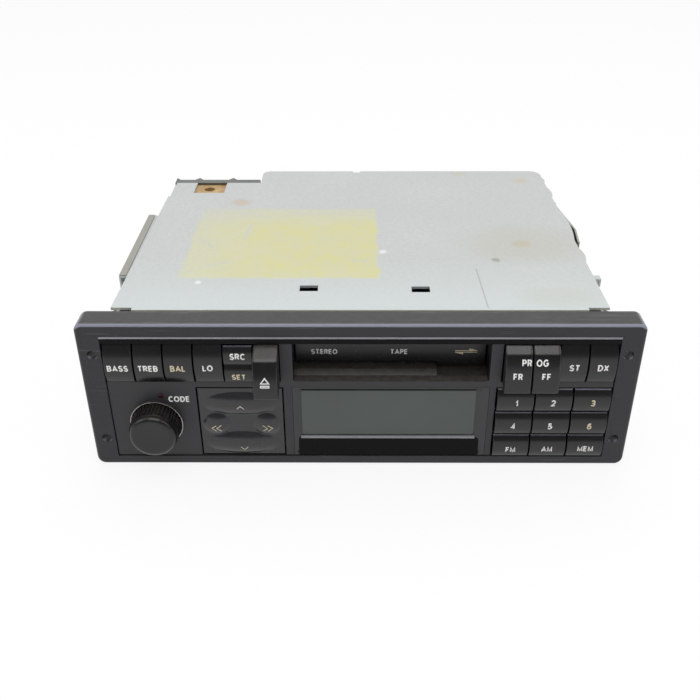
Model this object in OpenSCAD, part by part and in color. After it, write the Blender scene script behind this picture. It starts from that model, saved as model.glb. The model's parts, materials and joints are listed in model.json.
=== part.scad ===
// Slot-in car cassette radio: trim and keys in front, steel case with a tape deck behind.
// X runs to the right, Y into the dashboard and Z up. Z = 0 is the lower edge of the trim frame.

/* [Cassette] */
// Length of a cassette
tape_l = 100.4; // [98:0.1:104]
// Width of a cassette
tape_w = 63.8; // [62:0.1:66]
// Thickness at its tape edge
tape_t = 12; // [11.5:0.1:12.6]
// Thickness of the rest of it
tape_thin = 8.7; // [8.4:0.1:9.2]
// Distance between its hubs
hub_span = 42.5; // [41:0.1:44]
// Distance from its tape edge to its hubs
hub_inset = 34.5; // [33:0.1:36]
// Distance between its capstan holes
capstan_span = 66; // [64:0.5:68]
// Distance from its tape edge to its capstan holes
capstan_inset = 9.5; // [9:0.1:10]
// How far the lift drops a cassette onto the reels
lift_drop = 6; // [5:0.1:6.6]

/* [Cassette slot] */
// Room beside a cassette in the slot
slot_side = 1.25; // [1:0.05:1.5]
// Room over and under a cassette in the slot
slot_room = 3.6; // [3.4:0.1:4.4]
// Depth of the closed flap behind the front
flap_y = 10; // [9.4:0.1:11]
// Thickness of the flap
flap_t = 1.2; // [1:0.1:1.5]
// Depth of the slot's moulded throat
throat_d = 15.2; // [14.6:0.1:17]
// Radius of the slot's corners
slot_corner_r = 1; // [0.6:0.1:1.6]
// Step in the slot's floor beside the thick edge of a cassette
floor_step = 1.4; // [1:0.1:1.6]

/* [Keys] */
// Gap round each key
key_gap = 0.25; // [0.2:0.05:0.35]
// Travel of an electric key
key_travel = 1; // [0.6:0.1:1.4]
// How far the keys stand proud of the trim frame
key_proud = 1.2; // [0.8:0.1:1.6]
// Front radius of the upper row's keys
row_key_r = 16; // [12:1:24]
// Pitch of the five places at the left
tone_pitch = 10.05; // [9:0.05:11.2]
// Pitch of the two plain keys at the right
station_pitch = 9.7; // [8.5:0.05:11]
// Row pitch of the keypad
keypad_h = 9.7; // [9:0.1:11]
// Gap between rows of the keypad
keypad_rib = 0.9; // [0.8:0.05:1.4]
// Front radius of the keypad keys
keypad_r = 9; // [8:0.5:14]
// Height of the bar between the upper row and the lower half
bar_h = 2.3; // [2:0.1:3]
// Width of the eject key
eject_w = 8.6; // [7.5:0.1:10]
// How far the eject key stands proud
eject_proud = 9; // [7:0.5:11]
// Travel of the eject key
eject_travel = 5; // [3:0.5:6]
// Radius of the eject key's front
eject_key_r = 28; // [24:1:34]
// Radius of the fast-wind keys' front
wind_key_r = 37; // [32:1:48]
// How far the proud keys' noses hang below the upper row
nose_drop = 1.4; // [1:0.1:1.8]
// Pitch of the two fast-wind keys
wind_pitch = 9.25; // [8.5:0.05:10.5]
// How far the fast-wind keys stand proud
wind_proud = 5.2; // [4:0.2:6.6]
// Travel of the fast-wind keys
wind_travel = 3; // [2:0.5:4]

/* [Front panel] */
// Drop from the opening's top to the upper row of keys
row_drop = 2.7; // [2.4:0.1:3.4]
// Gap between panel and trim frame
panel_gap = 0.3; // [0.2:0.05:0.4]
// Width of the post between eject key and slot
post_left = 4.4; // [4:0.1:6]
// Width of the post between slot and fast-wind keys
post_right = 4.15; // [4:0.05:6]
// Depth of the panel's face behind the trim frame's front
face_y = 0.4; // [0.2:0.1:0.7]
// Depth of the panel's recessed strip above the keys
recess_y = 1.6; // [1.2:0.1:1.9]
// Depth of the panel's back
panel_back = 4.2; // [4:0.1:5]

/* [Trim frame] */
// Width of the strips at its left and right
strip_w = 7.9; // [7.4:0.1:12]
// Height of the strip above the opening
strip_top = 4.8; // [4.4:0.1:7]
// Height of the strip below the opening
strip_bottom = 3.75; // [3.5:0.05:6]
// Depth of the trim frame
bezel_d = 9; // [8:0.5:11]
// Thickness of its front wall
bezel_t = 2.2; // [1.9:0.1:2.6]
// Thickness of its side walls
bezel_wall = 2; // [1.4:0.1:2.2]
// Radius of its corners
bezel_corner_r = 3; // [1:0.5:4]
// Diameter of the four removal key holes
key_hole_d = 3.5; // [3:0.1:3.9]
// Distance of the key holes from the opening
key_hole_inset = 2.9; // [2.7:0.05:3.2]
// Distance between key holes, up and down
key_hole_dz = 34.5; // [30:0.5:37]

/* [Four-way pad] */
// Width of the pad's opening
nav_w = 30; // [27:0.5:33]
// Gap round the pad, so that it can tilt
nav_gap = 0.5; // [0.45:0.05:0.7]
// Width of the post between pad and display
nav_post = 2.9; // [2.5:0.1:4]

/* [Volume knob] */
// Diameter of the knob
knob_d = 17.2; // [15:0.2:19]
// How far the knob stands proud of the trim frame
knob_proud = 8; // [6:0.5:10]
// How far its axis lies below the middle of the pad
knob_drop = 0.9; // [0:0.1:1.5]
// Diameter of its shaft
shaft_d = 6; // [5:0.5:6.5]
// Running clearance of shafts and pins
fit_gap = 0.05; // [0.03:0.01:0.08]

/* [Display] */
// How far the surround is wider than the slot at each side
display_over = 0.55; // [0:0.05:0.8]
// Width of the surround beside the window
display_side = 3.85; // [2.5:0.05:6]
// Height of the surround below the window
display_foot = 9.35; // [7:0.05:11]
// Height of the surround above the window
display_head = 1.65; // [1.4:0.05:3]
// Width of the post between display and keypad
keypad_post = 2.35; // [2:0.05:3.5]

/* [Case] */
// How far the case's sides lie inside the trim frame's opening
case_inset = 2.6; // [2.3:0.1:3.2]
// Height of the case's underside above the trim frame's lower edge
chassis_z = 4; // [3.6:0.1:4.4]
// Distance of the case's top below the trim frame's upper edge
case_top = 3; // [2.7:0.1:3.2]
// Depth of the case behind a cassette
rear_room = 29.5; // [28:0.5:45]
// Thickness of the case's sheet steel
sheet = 1; // [0.8:0.1:1.2]
// Width of the rear step that holds the heat sink
step_w = 39; // [36:0.5:43]
// Depth of that step
step_d = 14.5; // [13:0.5:16]
// Radius of the rear corner
rear_corner_r = 5; // [4:1:10]
// Radius of the rear step's corner
step_corner_r = 3.5; // [2:0.5:4]
// How far the top cover overhangs the case at its front corners
cover_flare = 2.1; // [0:0.1:2.5]
// Reach of the rear support stud
stud_reach = 14; // [12:1:20]
// Diameter of the rear support stud
stud_d = 5; // [4:0.5:6]
// Length of the right latch leaf
latch_l = 40; // [34:1:46]
// Length of the rail on the left side
rail_l = 56.5; // [40:0.5:70]

/* [Tape deck] */
// Diameter of the motor pulley
pulley_d = 8; // [6:0.5:10]
// Diameter of the motor
motor_d = 30; // [26:1:33]
// Diameter of a pinch roller
roller_d = 10; // [8:0.5:11]
// Travel of the head slide
head_travel = 9; // [8:0.5:10]

/* [Hidden] */
$fn = 48;

// The front's width and height add up from its keys, slot, posts and strips
slot_w = tape_w + 2 * slot_side;
slot_h = tape_t + slot_room;
row_h = slot_h - 0.55;
left_w = 5 * tone_pitch + eject_w + post_left;
right_w = post_right + 2 * wind_pitch + 2 * station_pitch;
panel_w = left_w + slot_w + right_w + 2 * panel_gap;
panel_h = row_drop + row_h + bar_h + 3 * keypad_h + panel_gap;
bezel_w = panel_w + 2 * strip_w;
bezel_h = panel_h + strip_top + strip_bottom;
key_hole_dx = panel_w + 2 * key_hole_inset;

// Front openings, from the trim frame's lower edge up
bezel_mid = bezel_h / 2;
panel_z0 = strip_bottom;
panel_z1 = panel_z0 + panel_h;
panel_lap_x = 0.7;
panel_lap_z = 1.4;
half_panel = panel_w / 2 - panel_gap;
row_z1 = panel_z1 - row_drop;
row_z0 = row_z1 - row_h;
low_z0 = panel_z0 + panel_gap;
low_z1 = row_z0 - bar_h;
eject_x = -half_panel + 5 * tone_pitch + eject_w / 2;
wind_x = half_panel - 2 * station_pitch - 2 * wind_pitch;
slot_x = -half_panel + left_w + slot_w / 2;
slot_z0 = row_z0 + 0.05;
slot_z1 = slot_z0 + slot_h;
slot_x0 = slot_x - slot_w / 2;
slot_x1 = slot_x + slot_w / 2;
display_w = slot_w + 2 * display_over;
lcd_w = display_w - 2 * display_side;
lcd_z = low_z0 + display_foot;
lcd_h = low_z1 - display_head - lcd_z;
keypad_x = slot_x + display_w / 2 + keypad_post;
keypad_pitch = (half_panel - keypad_x) / 3;
nav_x = slot_x - display_w / 2 - nav_post - nav_w / 2;
nav_z = (low_z0 + low_z1) / 2;
nav_h = low_z1 - low_z0;
knob_x = (nav_x - nav_w / 2 - half_panel) / 2;
knob_z = nav_z - knob_drop;
lamp_x = knob_x + 2.8;
lamp_z = knob_z + knob_d / 2 + 3.2;

// Layers behind the front panel
throat_wall = 1.8;
throat_roof = 1.2;
cap_back = panel_back + 1;
carrier_y = cap_back + key_travel + 0.3;
dome_h = 1;
mat_t = 0.8;
board_t = 1.6;
stem_end = cap_back + 2.4;
dome_top = stem_end + key_travel + 0.1;
mat_y = dome_top + dome_h;
board_y = mat_y + mat_t;
carrier_end = board_y + board_t + 2.2;
carrier_half = key_hole_dx / 2 - key_hole_d / 2 - 0.35;
carrier_wall = 2.3;
board_half = carrier_half - carrier_wall - 0.2;
board_z0 = chassis_z + 2.4;
board_z1 = slot_z1 + throat_roof - 0.1;
throat_end = throat_d;
window_gap = 0.6;

// Flap hinge
flap_pin_r = 1;
knuckle_r = 1.7;
hinge_y = flap_y + flap_t / 2;
hinge_z = slot_z1 - knuckle_r - 0.25;

// A cassette at the slot's level, and the deck under it
tape_x1 = slot_x + tape_w / 2;
tape_x0 = slot_x - tape_w / 2;
tape_y0 = throat_end + 1;
tape_mid_y = tape_y0 + tape_l / 2;
tape_z0 = slot_z0 + 0.6;
tape_mid_z = tape_z0 + tape_t / 2;
thin_z0 = tape_mid_z - tape_thin / 2;
lip_t = 0.8;
deck_t = 1.2;
deck_top = tape_z0 - 0.1 - lip_t - lift_drop - 0.3;
deck_z = deck_top - deck_t;
reel_x = tape_x1 - hub_inset;
reel_y = [tape_mid_y - hub_span / 2, tape_mid_y + hub_span / 2];
capstan_x = tape_x1 - capstan_inset;
capstan_y = [tape_mid_y - capstan_span / 2, tape_mid_y + capstan_span / 2];
capstan_r = 1;
boss_h = 3.7;
flywheel_d = 2 * (capstan_y[0] - board_y - board_t - 4.3);
flywheel_z1 = deck_z - boss_h - 0.3;
flywheel_t = 4;
flywheel_z0 = flywheel_z1 - flywheel_t;
collar_r = 6;
reel_wheel_r = 10;
belt_gap = 0.3;
belt_t = 1.2;
motor_x = tape_x0 - 3.6 - motor_d / 2;
motor_y = capstan_y[1];
lift_x0 = tape_x0 - 2.3;
lift_x1 = tape_x1 + 2.3;
lift_y0 = throat_end + hinge_z - slot_z0 + 1.15;
lift_y1 = tape_y0 + tape_l + 1.4;
lift_top = slot_z1 - 1.6;
grip_y = [tape_mid_y - 22, tape_mid_y + 10];
grip_l = 12;
arm_x = tape_x1 + 5;
slide_x0 = arm_x + 9;
slide_x1 = slide_x0 + head_travel + 8;
slide_z = deck_top + 0.1;
slide_t = 1;

// Case
half_case = panel_w / 2 - case_inset;
chassis_h = bezel_h - case_top - chassis_z;
chassis_d = lift_y1 + rear_room;
case_z1 = chassis_z + chassis_h;
wall_z0 = chassis_z + sheet;
wall_z1 = case_z1 - sheet;
case_y0 = carrier_end;
step_x = -half_case + step_w;
step_y = chassis_d - step_d;
main_board_z = wall_z0 + 4.5;
lug = 6;
lug_h = 8;
lug_y = [case_y0 + 8, step_y - 12];
screw_r = 1.5;

// The origin lies under the middle of the whole radio's box
front_reach = max(eject_proud, max(knob_proud, wind_proud));
front_y = (front_reach - chassis_d - stud_reach) / 2;

// A block between two corners
module slab(x0, x1, y0, y1, z0, z1) {
    translate([x0, y0, z0])
        cube([x1 - x0, y1 - y0, z1 - z0]);
}

// Round rods along each axis
module rod_x(r, x0, x1, y, z) {
    translate([x0, y, z])
        rotate([0, 90, 0])
            cylinder(r = r, h = x1 - x0);
}

module rod_y(r, x, y0, y1, z) {
    translate([x, y0, z])
        rotate([-90, 0, 0])
            cylinder(r = r, h = y1 - y0);
}

module rod_z(r, x, y, z0, z1) {
    translate([x, y, z0])
        cylinder(r = r, h = z1 - z0);
}

// A flat outline in X and Z, drawn from depth y0 to y1
module front_extrude(y0, y1) {
    translate([0, y1, 0])
        rotate([90, 0, 0])
            linear_extrude(y1 - y0)
                children();
}

// A side profile in Y and Z, drawn from x0 to x1
module side_extrude(x0, x1) {
    translate([x0, 0, 0])
        rotate([90, 0, 90])
            linear_extrude(x1 - x0)
                children();
}

// A rectangle with round corners, centred across and standing on z0
module rounded(w, z0, z1, r) {
    translate([-w / 2 + r, z0])
        square([w - 2 * r, z1 - z0]);
    translate([-w / 2, z0 + r])
        square([w, z1 - z0 - 2 * r]);
    for (x = [-w / 2 + r, w / 2 - r], z = [z0 + r, z1 - r])
        translate([x, z])
            circle(r);
}

// Everything is drawn from the trim frame's front and moved to the part's own origin
module at_front() {
    translate([0, front_y, 0])
        children();
}

module trim_frame() {
    pocket_h = bezel_h - 2 * bezel_wall;
    color("#2b2b2e")
        difference() {
            front_extrude(0, bezel_d)
                rounded(bezel_w, 0, bezel_h, bezel_corner_r);
            slab(-panel_w / 2, panel_w / 2, -1, bezel_d + 1, panel_z0, panel_z1);
            front_extrude(bezel_t, bezel_d + 1)
                rounded(bezel_w - 2 * bezel_wall, bezel_wall, bezel_wall + pocket_h, bezel_corner_r / 2);
            for (x = [-1, 1] * key_hole_dx / 2, dz = [-1, 1] * key_hole_dz / 2)
                rod_y(key_hole_d / 2, x, -1, bezel_d, bezel_mid + dz);
        }
}

// Openings of the front panel, each from the face to the back
module panel_openings() {
    edge = half_panel + 0.05;
    through0 = -1;
    through1 = panel_back + 1;
    eject_x1 = eject_x + eject_w / 2 + key_gap;
    slab(-edge, eject_x1, through0, through1, row_z0 - 0.1, row_z1 + 0.1);
    translate([slot_x, 0, 0])
        front_extrude(through0, through1)
            rounded(slot_w, slot_z0, slot_z1, slot_corner_r);
    slab(wind_x - key_gap, edge, through0, through1, row_z0 - 0.1, row_z1 + 0.1);
    for (row = [0:2])
        slab(keypad_x - key_gap, edge, through0, through1,
            low_z0 + row * keypad_h + 0.2, low_z0 + (row + 1) * keypad_h - 0.2);
    slab(keypad_x - key_gap, edge, through0, recess_y, low_z0, low_z1);
    slab(slot_x - display_w / 2, slot_x + display_w / 2, through0, through1, low_z0, low_z1);
    slab(nav_x - nav_w / 2, nav_x + nav_w / 2, through0, through1, low_z0, low_z1);
    rod_y(knob_d / 2 + 0.7, knob_x, through0, face_y + 1.6, knob_z);
    rod_y(5, knob_x, through0, through1, knob_z);
    rod_y(1.05, lamp_x, through0, through1, lamp_z);
}

module front_panel() {
    lap_x = panel_w / 2 + panel_lap_x;
    ring_r = knob_d / 2 + 0.7;
    color("#232326")
        difference() {
            union() {
                slab(-lap_x, lap_x, bezel_t, panel_back, panel_z0 - panel_lap_z, panel_z1 + panel_lap_z);
                slab(-half_panel, half_panel, recess_y, bezel_t, low_z0, panel_z1 - panel_gap);
                slab(-half_panel, half_panel, face_y, recess_y, low_z0, slot_z1 + 0.3);
                rod_y(ring_r + 0.5, knob_x, face_y - 0.3, face_y, knob_z);
            }
            panel_openings();
        }
}

module front_carrier() {
    inner = carrier_half - carrier_wall;
    ear_x = carrier_half + 1.7;
    ear_z0 = bezel_mid + key_hole_dz / 2 + key_hole_d / 2 + 1.5;
    ear_z1 = wall_z1 - 0.4;
    ear_inner = half_case + 0.1;
    color("#b9ab8d") {
        difference() {
            union() {
                slab(-carrier_half, carrier_half, carrier_y, bezel_d,
                    bezel_wall + 0.3, bezel_h - bezel_wall - 0.3);
                slab(-carrier_half, carrier_half, bezel_d, carrier_end, chassis_z + 0.4, ear_z1);
                for (side = [-1, 1])
                    translate([0, 0, ear_z0])
                        linear_extrude(ear_z1 - ear_z0)
                            polygon([
                                [side * ear_inner, bezel_d], [side * ear_x, bezel_d],
                                [side * ear_x, carrier_end], [side * ear_inner, carrier_end + 4]
                            ]);
            }
            slab(-inner, inner, carrier_y - 1, carrier_end + 1, board_z0 - 0.2, board_z1 + 0.2);
        }
    }
}

// Surround with splayed walls, round the window and the strip below it
module display_bezel() {
    x0 = slot_x - display_w / 2 + 0.1;
    x1 = slot_x + display_w / 2 - 0.1;
    lx = slot_x - 0.5;
    back = face_y + 2.6;
    strip_y = face_y + 1.2;
    splay = display_side - 0.55;
    rim = 0.6;
    color("#1c1c1e")
        difference() {
            slab(x0, x1, face_y, back, low_z0 + 0.1, low_z1 - 0.1);
            translate([lx, 0, 0])
                hull() {
                    front_extrude(face_y - 0.2, face_y)
                        rounded(lcd_w + 2 * splay, low_z0 + rim, low_z1 - rim, 2.4, $fn = 32);
                    front_extrude(strip_y - 0.1, strip_y)
                        rounded(lcd_w + 0.6, low_z0 + 2 * rim, lcd_z + lcd_h + 0.2, 0.5, $fn = 32);
                }
            slab(lx - lcd_w / 2, lx + lcd_w / 2, face_y, back + 1, lcd_z, lcd_z + lcd_h);
        }
}

module lcd_module() {
    lx = slot_x - 0.5;
    front = face_y + 2.65;
    color("#555b57")
        slab(lx - lcd_w / 2 - 1.5, lx + lcd_w / 2 + 1.5, front, board_y, lcd_z - 1.5, lcd_z + lcd_h + 0.8);
}

module code_lamp() {
    color("#7a1518") {
        rod_y(0.9, lamp_x, face_y - 0.2, cap_back + 1, lamp_z);
        rod_y(1.5, lamp_x, cap_back, board_y, lamp_z);
    }
}

// Left edge of the key in each place of the upper row
function tone_x(i) = -half_panel + i * tone_pitch;
function station_x(i) = half_panel - (2 - i) * station_pitch;

// A bulged key cap with a holding lip above it and a stem behind it
module key(x0, x1, z0, z1, r) {
    mid_x = (x0 + x1) / 2;
    mid_z = (z0 + z1) / 2;
    bulge_z = z0 + 0.42 * (z1 - z0);
    stem = 1.5;
    lip = 0.5;
    intersection() {
        slab(x0 + key_gap, x1 - key_gap, -key_proud, cap_back, z0, z1);
        rod_x(r, x0, x1, r - key_proud, bulge_z);
    }
    slab(x0 + 2, x1 - 2, panel_back + 0.1, cap_back, z1 - 1, z1 + lip);
    slab(mid_x - stem, mid_x + stem, cap_back - 0.1, stem_end, mid_z - stem, mid_z + stem);
}

module tone_key(i) {
    color("#1a1a1c")
        key(tone_x(i), tone_x(i + 1), row_z0 + 0.1, row_z1 - 0.1, row_key_r);
}

module bass_key() {
    tone_key(0);
}

module treble_key() {
    tone_key(1);
}

module balance_key() {
    tone_key(2);
}

module local_key() {
    tone_key(3);
}

module plain_key(i) {
    color("#1a1a1c")
        key(station_x(i), station_x(i + 1), row_z0 + 0.1, row_z1 - 0.1, row_key_r);
}

module station_key() {
    plain_key(0);
}

module network_key() {
    plain_key(1);
}

// Keypad keys are counted from the lower left corner
module keypad_key(column, row) {
    x0 = keypad_x + column * keypad_pitch;
    z0 = low_z0 + row * keypad_h;
    color("#1a1a1c")
        key(x0, x0 + keypad_pitch, z0 + keypad_rib / 2, z0 + keypad_h - keypad_rib / 2, keypad_r);
}

module preset_key_1() {
    keypad_key(0, 2);
}

module preset_key_2() {
    keypad_key(1, 2);
}

module preset_key_3() {
    keypad_key(2, 2);
}

module preset_key_4() {
    keypad_key(0, 1);
}

module preset_key_5() {
    keypad_key(1, 1);
}

module preset_key_6() {
    keypad_key(2, 1);
}

module band_key() {
    keypad_key(0, 0);
}

module traffic_key() {
    keypad_key(1, 0);
}

module store_key() {
    keypad_key(2, 0);
}

// Pivot of the two-part rocker
rocker_mid_x = tone_x(4) + tone_pitch / 2;
rocker_mid_z = (row_z0 + row_z1) / 2;
rocker_pin_r = 1;
rocker_pin_y = panel_back + 1.4;

module source_rocker() {
    lobe_r = 7;
    edge = 0.6;
    back = panel_back - 0.6;
    x0 = tone_x(4) + key_gap;
    x1 = tone_x(5) - key_gap;
    lobes = [[row_z0 + edge, rocker_mid_z], [rocker_mid_z, row_z1 - edge]];
    color("#1a1a1c")
        difference() {
            union() {
                for (lobe = lobes)
                    intersection() {
                        slab(x0, x1, -key_proud, back, lobe[0], lobe[1]);
                        rod_x(lobe_r, x0 - 1, x1 + 1, lobe_r - key_proud,
                            lobe[0] + 0.42 * (lobe[1] - lobe[0]));
                    }
                slab(rocker_mid_x - 2, rocker_mid_x + 2, back - 1, rocker_pin_y + 1.8,
                    rocker_mid_z - 2, rocker_mid_z + 2);
            }
            rod_x(rocker_pin_r + fit_gap, x0 - 1, x1 + 1, rocker_pin_y, rocker_mid_z);
        }
}

// A mechanical key that stands proud: sloped top, bulged face and a nose that hangs in front of the bar
module proud_key(x0, x1, proud, travel, back, stem_y1, front_r) {
    z0 = row_z0 + 0.1;
    z1 = row_z1 - 0.1;
    mid_x = (x0 + x1) / 2;
    mid_z = (z0 + z1) / 2;
    nose_y = face_y - travel - 1;
    nose_z = z0 - nose_drop;
    slope = 4.5;
    side_extrude(x0, x1)
        intersection() {
            polygon([
                [back, z0], [nose_y, z0], [nose_y, nose_z], [-proud, nose_z], [-proud, z1 - slope],
                [face_y, z1], [back, z1]
            ]);
            translate([front_r - proud, nose_z])
                circle(front_r, $fn = 96);
        }
    slab(x0 + 2, x1 - 2, panel_back + 0.1, back, z1 - 1, z1 + 0.5);
    slab(mid_x - 1.5, mid_x + 1.5, back - 0.1, stem_y1, mid_z - 2.5, mid_z + 2.5);
}

eject_back = panel_back + 0.6;
eject_stem_end = board_y + board_t + 8;
wind_stem_end = board_y + board_t + 6;

module eject_key() {
    color("#202023")
        proud_key(eject_x - eject_w / 2 + key_gap, eject_x + eject_w / 2,
            eject_proud, eject_travel, eject_back, eject_stem_end, eject_key_r);
}

module wind_key(i) {
    x0 = wind_x + i * wind_pitch;
    color("#202023")
        proud_key(x0 + key_gap / 2, x0 + wind_pitch - key_gap / 2,
            wind_proud, wind_travel, cap_back, wind_stem_end, wind_key_r);
}

module rewind_key() {
    wind_key(0);
}

module forward_key() {
    wind_key(1);
}

// Pivots of the four-way pad: its own pin along X, its yoke's pins along Z
nav_pin_r = 1;
nav_pin_y = panel_back + 1.8;
yoke_half_x = 9;
yoke_half_z = 6.5;
yoke_bar = 2.2;
yoke_t = 2.4;
yoke_pin_end = yoke_half_z + 3;

// Part of a shape that stands in front of the rocking plate
module before_face() {
    half_w = nav_w / 2 - nav_gap;
    half_h = nav_h / 2 - nav_gap;
    intersection() {
        children();
        slab(nav_x - half_w, nav_x + half_w, -10, face_y + 0.2, nav_z - half_h, nav_z + half_h);
    }
}

// Rocking plate with two long bumps and two round ones
module nav_pad() {
    back = panel_back - 0.8;
    half_w = nav_w / 2 - nav_gap;
    half_h = nav_h / 2 - nav_gap;
    bump = key_proud + face_y;
    bump_r = 8;
    bump_bend = 46;
    bump_z = [nav_z + 7.8, nav_z - 8.9];
    side_r = 8.9;
    side_bump = 1.4;
    color("#29292c")
        difference() {
            union() {
                slab(nav_x - half_w, nav_x + half_w, face_y, back, nav_z - half_h, nav_z + half_h);
                slab(nav_x - 3, nav_x + 3, back - 0.5, nav_pin_y + 1.6, nav_z - 2.5, nav_z + 2.5);
                for (z = bump_z)
                    before_face()
                        translate([nav_x, face_y - bump + bump_r + bump_bend, z])
                            rotate_extrude($fn = 96)
                                translate([bump_bend, 0])
                                    circle(bump_r);
                for (side = [-1, 1])
                    before_face()
                        translate([nav_x + side * 8.75, face_y - side_bump + side_r, nav_z - 0.9])
                            sphere(side_r);
            }
            rod_x(nav_pin_r + fit_gap, nav_x - 4, nav_x + 4, nav_pin_y, nav_z);
        }
}

module nav_yoke() {
    y0 = nav_pin_y - yoke_t / 2;
    y1 = nav_pin_y + yoke_t / 2;
    inner_x = yoke_half_x - yoke_bar;
    inner_z = yoke_half_z - yoke_bar;
    color("#d8d4c8") {
        difference() {
            slab(nav_x - yoke_half_x, nav_x + yoke_half_x, y0, y1, nav_z - yoke_half_z, nav_z + yoke_half_z);
            slab(nav_x - inner_x, nav_x + inner_x, y0 - 1, y1 + 1, nav_z - inner_z, nav_z + inner_z);
        }
        rod_x(nav_pin_r, nav_x - inner_x - 0.5, nav_x + inner_x + 0.5, nav_pin_y, nav_z);
        for (z0 = [nav_z - yoke_pin_end, nav_z + yoke_half_z - 0.5])
            rod_z(nav_pin_r, nav_x, nav_pin_y, z0, z0 + yoke_pin_end - yoke_half_z + 0.5);
    }
}

// Knob with a ribbed skirt and a domed cap
knob_base_y = face_y + 1.3;
shaft_front = 4.5 - knob_proud;
shaft_back = board_y - 1;

module volume_knob() {
    r = knob_d / 2;
    cap_r = r - 0.6;
    ribs = 40;
    rib_depth = 0.45;
    edge_r = 1.6;
    skirt_y = 2.4 - knob_proud;
    color("#1b1b1d")
        difference() {
            union() {
                front_extrude(skirt_y, knob_base_y)
                    translate([knob_x, knob_z])
                        polygon([
                            for (i = [0 : 2 * ribs - 1])
                                let (a = i * 180 / ribs, d = i % 2 == 0 ? r : r - rib_depth)
                                    [d * cos(a), d * sin(a)]
                        ]);
                translate([knob_x, 0, knob_z])
                    rotate([90, 0, 0])
                        rotate_extrude()
                            union() {
                                translate([0, -skirt_y - 0.1])
                                    square([cap_r, 0.1 + knob_proud + skirt_y - edge_r]);
                                square([cap_r - edge_r, knob_proud]);
                                translate([cap_r - edge_r, knob_proud - edge_r])
                                    intersection() {
                                        circle(edge_r);
                                        square(edge_r);
                                    }
                            }
            }
            rod_y(shaft_d / 2 + fit_gap, knob_x, shaft_front, knob_base_y + 1, knob_z);
        }
}

module volume_shaft() {
    color("#b8b8b4")
        rod_y(shaft_d / 2, knob_x, shaft_front + 0.1, shaft_back, knob_z);
}

// Centres of the keys that press on the rubber mat
dome_places = concat(
    [for (i = [0:3]) [tone_x(i) + tone_pitch / 2, rocker_mid_z]],
    [for (i = [0:1]) [station_x(i) + station_pitch / 2, rocker_mid_z]],
    [for (column = [0:2], row = [0:2])
        [keypad_x + (column + 0.5) * keypad_pitch, low_z0 + (row + 0.5) * keypad_h]]
);

// Holes for the stems of the mechanical keys
module stem_holes(y0, y1) {
    half = 1.5 + window_gap;
    for (x = [eject_x + key_gap / 2, wind_x + wind_pitch / 2, wind_x + 1.5 * wind_pitch])
        slab(x - half, x + half, y0, y1, rocker_mid_z - 2.5 - window_gap, rocker_mid_z + 2.5 + window_gap);
}

// Opening for the cassette throat, open at the top
module throat_window(y0, y1) {
    side = throat_wall + window_gap;
    slab(slot_x0 - side, slot_x1 + side, y0, y1, slot_z0 - side, board_z1 + 1);
}

// Volume control on the key board
pot_half = 8;
pot_y = panel_back + 1.4;

module key_mat() {
    lx = slot_x - 0.5;
    color("#8c8f92")
        difference() {
            union() {
                slab(-board_half + 0.3, board_half - 0.3, mat_y, board_y, board_z0 + 0.3, board_z1 - 0.3);
                for (p = dome_places)
                    rod_y(2.2, p[0], dome_top, mat_y + 0.1, p[1]);
            }
            throat_window(mat_y - 1, board_y + 1);
            slab(lx - lcd_w / 2 - 2.5, lx + lcd_w / 2 + 2.5, mat_y - 1, board_y + 1,
                lcd_z - 2.5, slot_z0 - throat_wall);
            slab(nav_x - 12, nav_x + 12, mat_y - 1, board_y + 1, nav_z - 12, nav_z + 12);
            slab(knob_x - pot_half - 1, knob_x + pot_half + 1, mat_y - 1, board_y + 1,
                knob_z - pot_half - 1, knob_z + pot_half + 1);
            rod_y(2.2, lamp_x, mat_y - 1, board_y + 1, lamp_z);
            slab(eject_x - eject_w / 2 - 0.5, throat_left, mat_y - 1, board_y + 1, row_z0 - 1, board_z1 + 1);
            slab(rocker_mid_x - 4.6, rocker_mid_x + 4.6, mat_y - 1, board_y + 1,
                rocker_mid_z - 4, rocker_mid_z + 4);
            slab(wind_x - 1, wind_x + 2 * wind_pitch, mat_y - 1, board_y + 1, row_z0 - 1, board_z1 + 1);
        }
}

throat_left = slot_x0 - throat_wall;

module key_board() {
    rocker_lug = 1.6;
    rocker_gap = 0.3;
    nav_lug_z = yoke_half_z + 0.7;
    color("#3d6b3f") {
        difference() {
            slab(-board_half, board_half, board_y, board_y + board_t, board_z0, board_z1);
            throat_window(board_y - 1, board_y + board_t + 1);
            stem_holes(board_y - 1, board_y + board_t + 1);
        }
        difference() {
            union() {
                slab(knob_x - pot_half, knob_x + pot_half, pot_y, board_y + 0.1,
                    knob_z - pot_half, knob_z + pot_half);
                rod_y(4.5, knob_x, panel_back - 1.4, pot_y + 0.1, knob_z);
            }
            rod_y(shaft_d / 2 + fit_gap, knob_x, panel_back - 2, shaft_back + 0.3, knob_z);
        }
        for (side = [-1, 1])
            slab(rocker_mid_x + min(side * (2 + rocker_gap), side * (2 + rocker_gap + rocker_lug)),
                rocker_mid_x + max(side * (2 + rocker_gap), side * (2 + rocker_gap + rocker_lug)),
                rocker_pin_y - 1.5, board_y + 0.1, rocker_mid_z - 1.8, rocker_mid_z + 1.8);
        rod_x(rocker_pin_r, rocker_mid_x - 3, rocker_mid_x + 3, rocker_pin_y, rocker_mid_z);
        for (side = [-1, 1])
            difference() {
                slab(nav_x - 2, nav_x + 2, nav_pin_y - 1.6, board_y + 0.1,
                    nav_z + min(side * nav_lug_z, side * (nav_lug_z + 2)),
                    nav_z + max(side * nav_lug_z, side * (nav_lug_z + 2)));
                rod_z(nav_pin_r + fit_gap, nav_x, nav_pin_y, nav_z - 20, nav_z + 20);
            }
    }
}

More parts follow.
